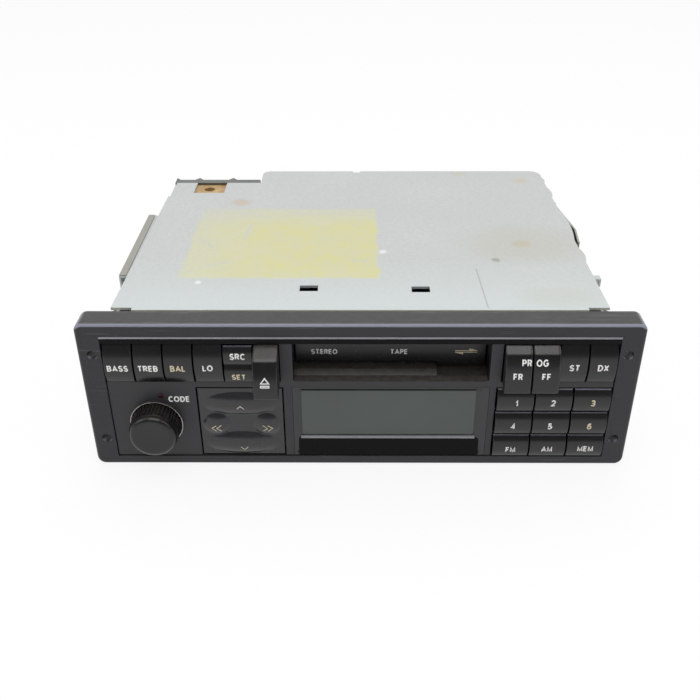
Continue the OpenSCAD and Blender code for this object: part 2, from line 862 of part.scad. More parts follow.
// Moulded throat of the cassette slot, with a step for the cassette's thick edge
module slot_throat() {
    y0 = panel_back + 0.05;
    step_edge = tape_x1 - 16;
    color("#1a1a1b")
        difference() {
            slab(slot_x0 - throat_wall, slot_x1 + throat_wall, y0, throat_end,
                slot_z0 - throat_wall, slot_z1 + throat_roof);
            difference() {
                slab(slot_x0, slot_x1, y0 - 1, throat_end + 1, slot_z0, slot_z1);
                side_extrude(slot_x0 - 1, step_edge)
                    polygon([
                        [y0, slot_z0 - 1], [y0, slot_z0], [y0 + 2, slot_z0 + floor_step],
                        [throat_end + 2, slot_z0 + floor_step], [throat_end + 2, slot_z0 - 1]
                    ]);
            }
            rod_x(flap_pin_r + fit_gap, slot_x0 - throat_wall - 1, slot_x1 + throat_wall + 1,
                hinge_y, hinge_z);
        }
}

module slot_flap() {
    side = 0.4;
    step_edge = tape_x1 - 16;
    color("#0f0f10") {
        slab(slot_x0 + side, slot_x1 - side, flap_y, flap_y + flap_t, slot_z0 + floor_step + side, hinge_z);
        slab(step_edge + side, slot_x1 - side, flap_y, flap_y + flap_t, slot_z0 + side, hinge_z);
        rod_x(knuckle_r, slot_x0 + side, slot_x1 - side, hinge_y, hinge_z);
        rod_x(flap_pin_r, slot_x0 - throat_wall + 0.4, slot_x1 + throat_wall - 0.4, hinge_y, hinge_z);
    }
}

// What a round corner of radius r cuts off a square one; side is -1 for a left corner, 1 for a right one
module corner_cut(x, y, r, side) {
    reach = r + cover_flare + 1;
    translate([x - side * r, y - r])
        difference() {
            translate([side > 0 ? 0 : -reach, 0])
                square(reach);
            circle(r);
        }
}

// Plan of the case with its rear step and round rear corners; inset moves every wall inwards
module case_plan(front, flare, inset) {
    half = half_case - inset;
    back = chassis_d - inset;
    difference() {
        polygon([
            [-half - flare, front], [half + flare, front], [half, back], [step_x + inset, back],
            [step_x + inset, step_y - inset], [-half, step_y - inset]
        ]);
        corner_cut(half, back, rear_corner_r - inset, 1);
        corner_cut(step_x + inset, back, step_corner_r - inset, -1);
    }
}

socket_x = half_case - 41.5;
socket_z = bezel_mid + 7;
socket_half_w = 22;
socket_half_h = 12;
socket_back = chassis_d + 3;
antenna_x = step_x + 20.5;
antenna_z = bezel_mid + 7;
antenna_bore_r = 4.4;
antenna_wall = 1.4;
antenna_back = chassis_d + 7;
stud_x = step_x + 48.5;
stud_z = bezel_mid;
amp_screw_z = [bezel_mid - 14, bezel_mid + 14];
sink_mid_x = (step_x - half_case) / 2;
latch_root_y = [case_y0 + 84.7, case_y0 + 98.2];

// Window over the amplifier's board, cut through the cover and the step's wall
notch_x = [sink_mid_x - 9.2, sink_mid_x + 4.2];
notch_depth = 3;

// Beads pressed out of the right wall
bead_y = [latch_root_y[1] - latch_l - 14.7, latch_root_y[1] + 8.5];
bead_r = 6;
bead_out = 1.6;

module chassis_shell() {
    rail_y0 = case_y0 + 29;
    rail_y1 = rail_y0 + rail_l;
    rail_out = 5.5;
    rail_z = wall_z1 - 1.4;
    rail_lip = 4;
    clip_y0 = case_y0 + 26.2;
    clip_y1 = clip_y0 + 3.2;
    clip_out = 4.8;
    clip_z = wall_z1 - 1.1;
    bead_h = 12;
    color("#c9ccc8")
        difference() {
            union() {
                translate([0, 0, wall_z0])
                    linear_extrude(wall_z1 - wall_z0)
                        difference() {
                            case_plan(case_y0, 0, 0);
                            case_plan(case_y0 - 1, 0, sheet);
                        }
                for (side = [-1, 1], y = lug_y)
                    slab(side * (half_case - sheet / 2) - (side > 0 ? lug : 0),
                        side * (half_case - sheet / 2) + (side > 0 ? 0 : lug),
                        y, y + lug, wall_z0, wall_z0 + lug_h);
                slab(-half_case - rail_out, -half_case + 0.1, rail_y0, rail_y1, rail_z, rail_z + 0.8);
                slab(-half_case - rail_out, -half_case - rail_out + 0.8, rail_y0, rail_y1,
                    rail_z - rail_lip, rail_z + 0.8);
                slab(half_case - 0.1, half_case + clip_out, clip_y0, clip_y1, clip_z, clip_z + 0.8);
                slab(half_case + clip_out - 0.8, half_case + clip_out, clip_y0, clip_y1,
                    clip_z - 2.4, clip_z + 0.8);
                for (y = bead_y)
                    intersection() {
                        rod_z(bead_r, half_case - bead_r + bead_out, y, wall_z1 - bead_h, wall_z1);
                        slab(half_case - 0.2, half_case + 4, y - 8, y + 8, wall_z0, case_z1);
                    }
            }
            for (side = [-1, 1], y = lug_y)
                rod_z(screw_r + fit_gap, side * (half_case - sheet / 2 - lug / 2), y + lug / 2,
                    0, wall_z0 + lug_h + 1);
            slab(socket_x - socket_half_w - 0.1, socket_x + socket_half_w + 0.1, chassis_d - 2, chassis_d + 1,
                socket_z - socket_half_h - 0.1, socket_z + socket_half_h + 0.1);
            rod_y(antenna_bore_r + antenna_wall + 0.1, antenna_x, chassis_d - 2, chassis_d + 1, antenna_z);
            rod_y(stud_d / 2 + 0.1, stud_x, chassis_d - 2, chassis_d + 1, stud_z);
            for (z = amp_screw_z)
                rod_y(screw_r + fit_gap, sink_mid_x, step_y - 2, step_y + 1, z);
            slab(notch_x[0], notch_x[1], step_y - 2, step_y + 1, wall_z1 - notch_depth, wall_z1 + 1);
        }
}

cover_y0 = case_y0 + 0.8;

module top_cover() {
    slot_size = [6.5, 4.3];
    slot_places = [[slot_x - 28.7, case_y0 + 14.5], [slot_x + 11.1, case_y0 + 13.7]];
    notch_y = step_y - 12;
    corner_x = half_case - 5.3;
    corner_w = 8;
    side_cut = 16;
    ear_y = concat(bead_y, [chassis_d - 11.5]);
    ear_r = [20, 20, 8];
    ear_out = [2.4, 1.4, 0.8];
    latch_ear_y = latch_root_y[1] - 26.5;
    latch_ear_r = 90;
    latch_ear_out = 2.4;
    hem_h = wall_z1 - slot_z1 - throat_roof - 0.2;
    flange_h = 8;
    flange_y = [case_y0 + 16, step_y - 14];
    color("#d2d5d1") {
        difference() {
            translate([0, 0, wall_z1])
                linear_extrude(sheet) {
                    case_plan(cover_y0, cover_flare, 0);
                    for (i = [0:2])
                        translate([half_case + ear_out[i] - ear_r[i], ear_y[i]])
                            circle(ear_r[i], $fn = 96);
                    intersection() {
                        translate([half_case + latch_ear_out - latch_ear_r, latch_ear_y])
                            circle(latch_ear_r, $fn = 360);
                        translate([half_case - 4, latch_ear_y - 40])
                            square([10, 80]);
                    }
                }
            slab(-half_case - cover_flare, -half_case + sheet - 0.1, step_y - side_cut, step_y + 1,
                wall_z1 - 1, case_z1 + 1);
            for (p = slot_places)
                slab(p[0] - slot_size[0] / 2, p[0] + slot_size[0] / 2, p[1], p[1] + slot_size[1],
                    wall_z1 - 1, case_z1 + 1);
            slab(notch_x[0], notch_x[1], notch_y, chassis_d, wall_z1 - 1, case_z1 + 1);
            for (x = [-corner_x - corner_w, corner_x])
                slab(x, x + corner_w, cover_y0 - 1, cover_y0 + 1.6, wall_z1 - 1, case_z1 + 1);
            slab(-3, 0.3, chassis_d - 1.4, chassis_d + 1, wall_z1 - 1, case_z1 + 1);
        }
        slab(-corner_x, corner_x, cover_y0, cover_y0 + sheet, wall_z1 - hem_h, wall_z1 + 0.1);
        for (side = [-1, 1])
            slab(side * (half_case - sheet - 0.1) - (side > 0 ? sheet : 0),
                side * (half_case - sheet - 0.1) + (side > 0 ? 0 : sheet),
                flange_y[0], flange_y[1], wall_z1 - flange_h, wall_z1 + 0.1);
    }
}

standoff_x = half_case - 16;
standoff_y = [case_y0 + 12, step_y - 8];

module bottom_cover() {
    color("#c4c7c3")
        difference() {
            union() {
                translate([0, 0, chassis_z])
                    linear_extrude(sheet)
                        case_plan(case_y0, 0, 0);
                for (x = [-1, 1] * standoff_x, y = standoff_y)
                    rod_z(3, x, y, wall_z0 - 0.1, main_board_z);
            }
            for (side = [-1, 1], y = lug_y)
                rod_z(screw_r + 0.2, side * (half_case - sheet / 2 - lug / 2), y + lug / 2, 0, wall_z0 + 1);
        }
}

// Plan of a latch leaf with its rolled root, drawn for the right side of the case
leaf_stand = 0.15;
leaf_roll_r = 0.8;

module leaf_plan(root_y, bulge_y, tip_y) {
    leaf_t = 0.8;
    bulge = 3.9;
    tip = 2.8;
    polygon([
        [half_case + leaf_stand, root_y], [half_case + bulge, bulge_y], [half_case + tip, tip_y],
        [half_case + tip + leaf_t, tip_y - 0.4], [half_case + bulge + leaf_t, bulge_y],
        [half_case + leaf_stand + leaf_roll_r, root_y]
    ]);
    translate([half_case + leaf_stand + leaf_roll_r, root_y])
        circle(leaf_roll_r);
}

latch_z0 = bezel_mid - 9;
latch_z1 = [case_z1 - 12, wall_z1 - 0.3];

module left_latch() {
    color("#b9bbb5")
        mirror([1, 0, 0])
            translate([0, 0, latch_z0])
                linear_extrude(latch_z1[0] - latch_z0)
                    leaf_plan(latch_root_y[0], latch_root_y[0] - 39, latch_root_y[0] - 53);
}

module right_latch() {
    color("#8f8d86")
        translate([0, 0, latch_z0])
            linear_extrude(latch_z1[1] - latch_z0)
                leaf_plan(latch_root_y[1], latch_root_y[1] - latch_l + 12, latch_root_y[1] - latch_l);
}

sink_base = 3.9;
sink_fin = 2.4;

module heat_sink() {
    x0 = -half_case;
    x1 = step_x - 0.6;
    y1 = step_y + sink_base;
    fin_half = 2;
    fins = [0, 10.4, 25.8];
    color("#9fa29f")
        difference() {
            union() {
                slab(x0, x1, step_y, y1, wall_z0 + 1, case_z1);
                for (f = fins)
                    translate([0, 0, wall_z0 + 1])
                        linear_extrude(case_z1 - wall_z0 - 1)
                            polygon([
                                [max(x0, x0 + f - fin_half), y1 - 0.1], [x0 + f + fin_half, y1 - 0.1],
                                [x0 + f, y1 + sink_fin]
                            ]);
            }
            for (z = amp_screw_z)
                rod_y(screw_r + fit_gap, sink_mid_x, step_y - 1, y1 + 5, z);
        }
}

module amp_board() {
    x0 = sink_mid_x - 15;
    x1 = sink_mid_x + 15;
    y1 = step_y - sheet - 0.1;
    z1 = wall_z1 - 0.1;
    hole_x = sink_mid_x - 3.1;
    hole_y = step_y - 5.2;
    hole_r = 2.35;
    color("#b8935f")
        difference() {
            union() {
                slab(x0, x1, y1 - 23, y1, z1 - board_t, z1);
                slab(notch_x[0] + 0.2, notch_x[1] - 0.2, y1 - 1, step_y - 0.05, z1 - board_t, z1);
                slab(x0 + 3, x1 - 3, y1 - 3.6, y1, bezel_mid - 8, z1 - board_t + 0.1);
            }
            rod_z(hole_r, hole_x, hole_y, z1 - board_t - 1, z1 + 1);
            for (z = amp_screw_z)
                rod_y(screw_r + fit_gap, sink_mid_x, y1 - 6, y1 + 1, z);
        }
}

// Board on the bottom with its taller parts
module main_board() {
    half = half_case - sheet - lug - 1;
    y0 = case_y0 + 3;
    y1 = step_y - 3;
    z1 = main_board_z + board_t;
    color("#2f5f3a") {
        slab(-half, half, y0, y1, main_board_z, z1);
        for (i = [0:2])
            rod_z(5, -half + 9 + i * 13, y0 + 16, z1 - 0.1, deck_z - 2.6);
        slab(-half + 6, -half + 34, y0 + 40, y0 + 62, z1 - 0.1, flywheel_z0 + 0.4);
        slab(-14, 14, y0 + 44, y0 + 58, z1 - 0.1, z1 + 3);
    }
}

module tuner_can() {
    x1 = half_case - sheet - lug - 2;
    y1 = step_y - 4;
    z0 = main_board_z + board_t;
    x0 = capstan_x + flywheel_d / 2 + belt_gap + belt_t + 3;
    color("#c6c9c6")
        slab(x0, x1, y1 - 44, y1, z0, deck_z - 1.6);
}

// Two stacked multi-pole sockets
pole_end = chassis_d - 2;

module rear_sockets() {
    floor_y = chassis_d - 6;
    cavity_half_w = 20;
    cavity_half_h = 4.6;
    cavity_dz = 6;
    color("#1d1d1f") {
        difference() {
            slab(socket_x - socket_half_w, socket_x + socket_half_w, floor_y - 2, socket_back,
                socket_z - socket_half_h, socket_z + socket_half_h);
            for (dz = [-cavity_dz, cavity_dz])
                slab(socket_x - cavity_half_w, socket_x + cavity_half_w, floor_y, socket_back + 1,
                    socket_z + dz - cavity_half_h, socket_z + dz + cavity_half_h);
        }
        for (dz = [-cavity_dz, cavity_dz], i = [0:3], pole = [-2.2, 2.2])
            rod_y(0.9, socket_x + (i - 1.5) * 10, floor_y - 0.5, pole_end, socket_z + dz + pole);
    }
}

module antenna_socket() {
    r = antenna_bore_r + antenna_wall;
    bore_y = antenna_back - 12;
    color("#c2c3bf")
        difference() {
            union() {
                rod_y(r, antenna_x, bore_y - 2, antenna_back, antenna_z);
                rod_y(r + 2, antenna_x, chassis_d, chassis_d + 1.5, antenna_z);
            }
            rod_y(antenna_bore_r, antenna_x, bore_y, antenna_back + 1, antenna_z);
        }
}

stud_nut_t = 4;

module rear_stud() {
    nut_r = stud_d * 0.92;
    color("#b7b8b2") {
        rod_y(stud_d / 2, stud_x, chassis_d - sheet - 3, chassis_d + stud_reach, stud_z);
        translate([stud_x, chassis_d, stud_z])
            rotate([-90, 0, 0])
                cylinder(r = nut_r, h = stud_nut_t, $fn = 6);
        rod_y(nut_r, stud_x, chassis_d - sheet - 3, chassis_d - sheet, stud_z);
    }
}

// Pan-head screws: four from below, two through the heat sink
module case_screws() {
    head_r = 2.8;
    head_h = 1.7;
    sink_y = step_y + sink_base;
    color("#a9aaa4") {
        for (side = [-1, 1], y = lug_y)
            translate([side * (half_case - sheet / 2 - lug / 2), y + lug / 2, 0]) {
                rod_z(screw_r, 0, 0, chassis_z - 0.1, wall_z0 + lug_h - 1);
                rod_z(head_r, 0, 0, chassis_z - head_h, chassis_z);
            }
        for (z = amp_screw_z) {
            rod_y(screw_r, sink_mid_x, step_y - sheet - 4, sink_y + 0.1, z);
            rod_y(head_r, sink_mid_x, sink_y, sink_y + head_h, z);
        }
    }
}

// Place of the idler between the front flywheel's collar and the front reel's wheel
drive_line = [reel_x - capstan_x, reel_y[0] - capstan_y[0]];
drive_length = norm(drive_line);
idler_slack = 0.3;
idler_r = (drive_length - collar_r - reel_wheel_r) / 2 - idler_slack;
idler_at = [capstan_x, capstan_y[0]] + drive_line * (collar_r + idler_slack + idler_r) / drive_length;
idler_pin_r = 1.5;
wheel_z0 = deck_z - 3.5;
wheel_z1 = deck_z - 0.4;
pin_slots_y = [tape_mid_y - 24, tape_mid_y + 24];
guide_pin_r = 1.5;

module deck_plate() {
    x0 = motor_x - motor_d / 2 - 2;
    x1 = slide_x1 + 3;
    y0 = throat_end + 3;
    y1 = lift_y1 + 8;
    tab = 8;
    inner = half_case - sheet;
    color("#b9bcb6")
        difference() {
            union() {
                slab(x0, x1, y0, y1, deck_z, deck_top);
                for (y = [y0 + 16, y1 - 14]) {
                    slab(-inner, x0 + 1, y, y + tab, deck_z, deck_top);
                    slab(-inner, -inner + deck_t, y, y + tab, deck_z, deck_top + 8);
                    slab(x1 - 1, inner, y, y + tab, deck_z, deck_top);
                    slab(inner - deck_t, inner, y, y + tab, deck_z, deck_top + 8);
                }
                slab(lift_x0 - 1.5, lift_x0 - 0.3, reel_y[0], reel_y[0] + 30, deck_z, lift_top - 3);
                for (y = capstan_y)
                    rod_z(3.5, capstan_x, y, deck_z - boss_h, deck_z + 0.1);
                rod_z(idler_pin_r, idler_at[0], idler_at[1], wheel_z0 - 0.3, deck_z + 0.1);
                for (y = pin_slots_y)
                    rod_z(guide_pin_r, slide_x0 + 3, y, deck_top - 0.1, slide_z + slide_t + 1);
            }
            for (y = capstan_y)
                rod_z(capstan_r + fit_gap, capstan_x, y, deck_z - 5, deck_top + 1);
            for (y = reel_y)
                rod_z(reel_shaft_r + fit_gap, reel_x, y, deck_z - 1, deck_top + 1);
            rod_z(motor_shaft_r + 1, motor_x, motor_y, deck_z - 1, deck_top + 1);
        }
}

reel_shaft_r = 2;
motor_shaft_r = 1;

// Sheet-metal tray that holds the cassette by its edges
module cassette_lift() {
    low_lip = thin_z0 - 0.15;
    thick_lip = tape_z0 - 0.1;
    color("#aeb2ae") {
        slab(lift_x0, lift_x1, lift_y0, lift_y1 + 1, lift_top - lip_t, lift_top);
        slab(lift_x0, lift_x0 + 1, lift_y0, lift_y1 + 1, low_lip - lip_t, lift_top);
        slab(lift_x0, tape_x0 + 4, lift_y0, lift_y1 + 1, low_lip - lip_t, low_lip);
        slab(lift_x0, lift_x1, lift_y1, lift_y1 + 1, low_lip - lip_t, lift_top);
        for (y = grip_y) {
            slab(lift_x1 - 1, lift_x1, y, y + grip_l, thick_lip - lip_t, lift_top);
            slab(tape_x1 - 3.5, lift_x1, y, y + grip_l, thick_lip - lip_t, thick_lip);
        }
    }
}

// Reel with a splined tip above the deck and a driven wheel below it
module reel(y) {
    tip_z = thin_z0 - 0.4;
    table_z = deck_top + 0.2;
    spline = 0.7;
    color("#d9d6cd") {
        rod_z(reel_shaft_r, reel_x, y, wheel_z0, table_z + 0.1);
        rod_z(8, reel_x, y, table_z, table_z + 1.2);
        rod_z(3, reel_x, y, table_z, tip_z);
        for (a = [0, 120, 240])
            translate([reel_x, y, 0])
                rotate([0, 0, a])
                    slab(0, 4.2, -spline, spline, table_z, tip_z - 1);
        rod_z(reel_wheel_r, reel_x, y, wheel_z0, wheel_z1);
    }
}

module front_reel() {
    reel(reel_y[0]);
}

module rear_reel() {
    reel(reel_y[1]);
}

// Flywheel on its capstan, with a collar that drives the idler
module flywheel(y) {
    tip_z = tape_z0 - 0.5;
    color("#b08d4f") {
        rod_z(capstan_r, capstan_x, y, flywheel_z0 - 1.5, tip_z);
        rod_z(flywheel_d / 2, capstan_x, y, flywheel_z0, flywheel_z1);
        difference() {
            rod_z(collar_r, capstan_x, y, flywheel_z1 - 0.1, wheel_z1);
            rod_z(collar_r - 2, capstan_x, y, flywheel_z1 - 0.2, wheel_z1 + 1);
        }
    }
}

module front_flywheel() {
    flywheel(capstan_y[0]);
}

module rear_flywheel() {
    flywheel(capstan_y[1]);
}

motor_z1 = deck_top + 17;

module drive_motor() {
    color("#c8cac6")
        difference() {
            rod_z(motor_d / 2, motor_x, motor_y, deck_top, motor_z1);
            rod_z(motor_shaft_r + fit_gap, motor_x, motor_y, deck_top - 1, motor_z1 - 3);
        }
}

module motor_pulley() {
    color("#c9a24b") {
        rod_z(motor_shaft_r, motor_x, motor_y, flywheel_z0, motor_z1 - 4);
        rod_z(pulley_d / 2, motor_x, motor_y, flywheel_z0, flywheel_z1);
    }
}

// Outline round the pulley and both flywheels
module belt_loop(extra) {
    hull() {
        translate([motor_x, motor_y])
            circle(pulley_d / 2 + extra);
        for (y = capstan_y)
            translate([capstan_x, y])
                circle(flywheel_d / 2 + extra);
    }
}

module drive_belt() {
    color("#161616")
        translate([0, 0, flywheel_z0 + 1])
            linear_extrude(2)
                difference() {
                    belt_loop(belt_gap + belt_t);
                    belt_loop(belt_gap);
                }
}

module idler_wheel() {
    color("#33302c")
        difference() {
            rod_z(idler_r, idler_at[0], idler_at[1], wheel_z0 + 0.2, wheel_z1 - 0.2);
            rod_z(idler_pin_r + fit_gap, idler_at[0], idler_at[1], wheel_z0 - 1, wheel_z1 + 1);
        }
}

roller_x = tape_x1 + roller_d / 2 + 0.7;
roller_pin_r = 1.2;
roller_z0 = slide_z + slide_t + 2;
roller_z1 = roller_z0 + 8;

// Plate that carries the head and both pinch rollers towards the cassette
module head_slide() {
    arm_half = 4;
    color("#9da19c")
        difference() {
            union() {
                slab(slide_x0, slide_x1, capstan_y[0] - 8, capstan_y[1] + 8, slide_z, slide_z + slide_t);
                for (y = [capstan_y[0], tape_mid_y, capstan_y[1]])
                    slab(arm_x, slide_x0 + 1, y - arm_half, y + arm_half, slide_z, slide_z + slide_t);
                for (y = capstan_y) {
                    slab(arm_x, roller_x + 2, y - 2, y + 2, slide_z, slide_z + slide_t);
                    rod_z(roller_pin_r, roller_x, y, slide_z, roller_z1 + 0.8);
                    rod_z(roller_pin_r + 1, roller_x, y, slide_z, roller_z0 - 0.2);
                }
            }
            for (y = pin_slots_y)
                slab(slide_x0 + 3 - guide_pin_r - 0.3, slide_x0 + 3 + guide_pin_r + head_travel + 0.3,
                    y - guide_pin_r - 0.2, y + guide_pin_r + 0.2, slide_z - 1, slide_z + slide_t + 1);
        }
}

module tape_head() {
    x0 = tape_x1 + 5;
    head_z0 = slide_z + slide_t;
    color("#c7c9c6") {
        slab(x0 + 3, x0 + 12, tape_mid_y - 7, tape_mid_y + 7, head_z0, head_z0 + 11);
        intersection() {
            slab(x0, x0 + 4, tape_mid_y - 5, tape_mid_y + 5, head_z0 + 2, head_z0 + 11);
            rod_z(9, x0 + 9, tape_mid_y, head_z0, head_z0 + 12);
        }
    }
}

module roller(y) {
    color("#1f1e1d")
        difference() {
            rod_z(roller_d / 2, roller_x, y, roller_z0, roller_z1);
            rod_z(roller_pin_r + fit_gap, roller_x, y, roller_z0 - 1, roller_z1 + 1);
        }
}

module front_roller() {
    roller(capstan_y[0]);
}

module rear_roller() {
    roller(capstan_y[1]);
}

at_front() trim_frame();
at_front() front_panel();
at_front() front_carrier();
at_front() display_bezel();
at_front() lcd_module();
at_front() code_lamp();
at_front() key_mat();
at_front() key_board();
at_front() bass_key();
at_front() treble_key();
at_front() balance_key();
at_front() local_key();
at_front() source_rocker();
at_front() eject_key();
at_front() rewind_key();
at_front() forward_key();
at_front() station_key();
at_front() network_key();
at_front() preset_key_1();
at_front() preset_key_2();
at_front() preset_key_3();
at_front() preset_key_4();
at_front() preset_key_5();
at_front() preset_key_6();
at_front() band_key();
at_front() traffic_key();
at_front() store_key();
at_front() nav_pad();
at_front() nav_yoke();
at_front() volume_knob();
at_front() volume_shaft();
at_front() slot_throat();
at_front() slot_flap();
at_front() chassis_shell();
at_front() top_cover();
at_front() bottom_cover();
at_front() left_latch();
at_front() right_latch();
at_front() heat_sink();
at_front() amp_board();
at_front() main_board();
at_front() tuner_can();
at_front() rear_sockets();
at_front() antenna_socket();
at_front() rear_stud();
at_front() case_screws();
at_front() deck_plate();
at_front() cassette_lift();
at_front() front_reel();
at_front() rear_reel();
at_front() front_flywheel();
at_front() rear_flywheel();
at_front() drive_motor();
at_front() motor_pulley();
at_front() drive_belt();
at_front() idler_wheel();
at_front() head_slide();
at_front() tape_head();
at_front() front_roller();
at_front() rear_roller();
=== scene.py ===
"""Looks of a slot-in car cassette radio: moulded black front, galvanised case, tape deck inside."""

import json
import math

import bmesh
import bpy
from bpy.props import FloatProperty, FloatVectorProperty, IntProperty, PointerProperty
from mathutils import Euler, Matrix, Vector
from mathutils.bvhtree import BVHTree


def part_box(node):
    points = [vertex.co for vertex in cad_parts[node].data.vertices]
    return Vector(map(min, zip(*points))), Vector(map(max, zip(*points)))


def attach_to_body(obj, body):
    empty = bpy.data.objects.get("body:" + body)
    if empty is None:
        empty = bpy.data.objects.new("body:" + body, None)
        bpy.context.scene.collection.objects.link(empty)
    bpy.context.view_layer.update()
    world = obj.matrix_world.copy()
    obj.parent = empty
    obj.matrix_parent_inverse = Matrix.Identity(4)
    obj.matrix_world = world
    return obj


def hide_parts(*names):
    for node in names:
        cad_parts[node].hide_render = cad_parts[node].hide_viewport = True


bl_info = {
    "name": "Car cassette radio",
    "version": (1, 0, 0),
    "blender": (4, 5, 0),
    "location": "3D View > Sidebar > Radio",
    "description": "Dresses the radio's solids with moulded edges, printed labels and finishes",
    "category": "Object",
}

MM = 0.001

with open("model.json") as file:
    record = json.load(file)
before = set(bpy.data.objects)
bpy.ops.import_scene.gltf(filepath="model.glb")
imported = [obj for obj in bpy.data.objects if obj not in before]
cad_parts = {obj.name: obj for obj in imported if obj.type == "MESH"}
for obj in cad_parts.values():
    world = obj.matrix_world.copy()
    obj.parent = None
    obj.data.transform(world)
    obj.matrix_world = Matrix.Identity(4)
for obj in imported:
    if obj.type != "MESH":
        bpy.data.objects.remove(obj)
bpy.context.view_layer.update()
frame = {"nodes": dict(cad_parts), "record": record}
record = frame["record"]
nodes = frame["nodes"]
body_of = {n: body for body, names in record["behaviour"]["bodies"].items() for n in names}
slot_of = {part["node"]: part["material_slot"] for part in record["subparts"]}
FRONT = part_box("trim_frame")[0].y
COVER_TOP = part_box("top_cover")[1].z
# Depth of the panel's and the pad's face behind the trim's front, in mm
FACE = 0.4


def linear(code):
    """sRGB hex to a linear colour with alpha."""
    parts = [int(code[i : i + 2], 16) / 255 for i in (1, 3, 5)]
    return tuple(c / 12.92 if c <= 0.04045 else ((c + 0.055) / 1.055) ** 2.4 for c in parts) + (1.0,)


def at(x, y, z):
    """A point given in millimetres from the trim frame's front and lower edge."""
    return Vector((x * MM, FRONT + y * MM, z * MM))


def box_mm(node):
    """A node's lowest and highest corner, in millimetres from the same place."""
    return [(corner - at(0, 0, 0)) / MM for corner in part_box(node)]


# Properties that a user may change


class RadioSizes(bpy.types.PropertyGroup):
    """Sizes of edges, ribs and print."""

    trim_edge: FloatProperty(
        name="Trim edge", description="Rounding of the trim frame's front rim",
        default=1.5 * MM, min=0.0, unit="LENGTH", precision=6)
    key_edge: FloatProperty(
        name="Key edge", description="Rounding of the keys' edges",
        default=0.35 * MM, min=0.0, unit="LENGTH", precision=6)
    proud_edge: FloatProperty(
        name="Proud key edge", description="Rounding of the eject and wind keys' edges",
        default=0.7 * MM, min=0.0, unit="LENGTH", precision=6)
    panel_edge: FloatProperty(
        name="Panel edge", description="Rounding of the front panel's edges",
        default=0.12 * MM, min=0.0, unit="LENGTH", precision=6)
    sheet_edge: FloatProperty(
        name="Sheet edge", description="Rounding of the case's sheet edges",
        default=0.2 * MM, min=0.0, unit="LENGTH", precision=6)
    rib_count: IntProperty(
        name="Knob ribs", description="Number of ribs round the knob", default=44, min=8)
    rib_radius: FloatProperty(
        name="Rib radius", description="Radius of one rib on the knob",
        default=0.34 * MM, min=0.0, unit="LENGTH", precision=6)
    print_depth: FloatProperty(
        name="Print thickness", description="How far the printed labels stand off their keys",
        default=0.03 * MM, min=0.0, unit="LENGTH", precision=6)


class RadioColours(bpy.types.PropertyGroup):
    """Colours of the main finishes."""

    trim: FloatVectorProperty(
        name="Trim", description="Moulded trim frame", default=linear("#29292c"), subtype="COLOR", size=4)
    panel: FloatVectorProperty(
        name="Panel", description="Front panel and pad", default=linear("#262629"), subtype="COLOR", size=4)
    keys: FloatVectorProperty(
        name="Keys", description="Key caps", default=linear("#0c0c0f"), subtype="COLOR", size=4)
    steel: FloatVectorProperty(
        name="Case", description="Galvanised case", default=linear("#c0c3c2"), subtype="COLOR", size=4)
    residue: FloatVectorProperty(
        name="Glue residue", description="Old glue on the top cover",
        default=linear("#c8c48b"), subtype="COLOR", size=4)
    display: FloatVectorProperty(
        name="Display", description="Display at rest", default=linear("#434a46"), subtype="COLOR", size=4)
    ink: FloatVectorProperty(
        name="Print", description="Printed labels", default=linear("#f4f3f0"), subtype="COLOR", size=4)


def sizes():
    return bpy.context.scene.radio_sizes


def colour_of(name):
    return tuple(getattr(bpy.context.scene.radio_colours, name))


# Materials

# Kinds of node that come often
RANGE = "ShaderNodeMapRange"
MATH = "ShaderNodeMath"
NOISE = "ShaderNodeTexNoise"
VECTOR = "ShaderNodeVectorMath"
# Real sizes of the patterns, in mm
CLOUD = 18.0
SPECK = 1.1
DUST_FILM = 2.2
SCRATCH = 0.9
METAL_LINE = 0.4
TARNISH = 9.0
# How far the torn edges of stains and glue wander, in mm
RAGGED = 6.0
# Colours of dust specks, settled dust, scratches, and of the painted highlight on the rounded top edges of
# plastic
SPECK_COLOUR = linear("#8f887c")
DUST_COLOUR = linear("#7d766b")
SCRATCH_COLOUR = linear("#848286")
EDGE_HIGHLIGHT_COLOUR = linear("#9092a0")


def add(tree, kind, ins=(), **settings):
    """Adds a node; ins gives its inputs, in order or by name, as values, sockets, nodes or lists of nodes."""
    made = tree.nodes.new(kind)
    for key, value in settings.items():
        setattr(made, key, value)
    for key, value in ins.items() if isinstance(ins, dict) else enumerate(ins):
        for source in value if isinstance(value, list) else [value]:
            if isinstance(source, bpy.types.Node):
                source = next(socket for socket in source.outputs if socket.enabled)
            if isinstance(source, bpy.types.NodeSocket):
                tree.links.new(source, made.inputs[key])
            else:
                made.inputs[key].default_value = source
    return made


def blank(name):
    """A new material, its empty tree and the Object coordinates in it."""
    material = bpy.data.materials.new(name)
    material.use_nodes = True
    tree = material.node_tree
    tree.nodes.clear()
    return material, tree, add(tree, "ShaderNodeTexCoord").outputs["Object"]


def surface(material, ins):
    """Ends a material with its shader."""
    shader = add(material.node_tree, "ShaderNodeBsdfPrincipled", ins)
    add(material.node_tree, "ShaderNodeOutputMaterial", {"Surface": shader})
    return material


def layered(tree, tone, layers):
    """Lays colours over a first one, each by its own mask."""
    for mask, colour in layers:
        tone = add(tree, "ShaderNodeMix", {0: mask, 6: tone, 7: colour}, data_type="RGBA")
    return tone


def per(size_mm):
    """A pattern's scale from the real size of its features in millimetres."""
    return 1.0 / (size_mm * MM)


def shade(colour, factor):
    return tuple(c * factor for c in colour[:3]) + (1.0,)


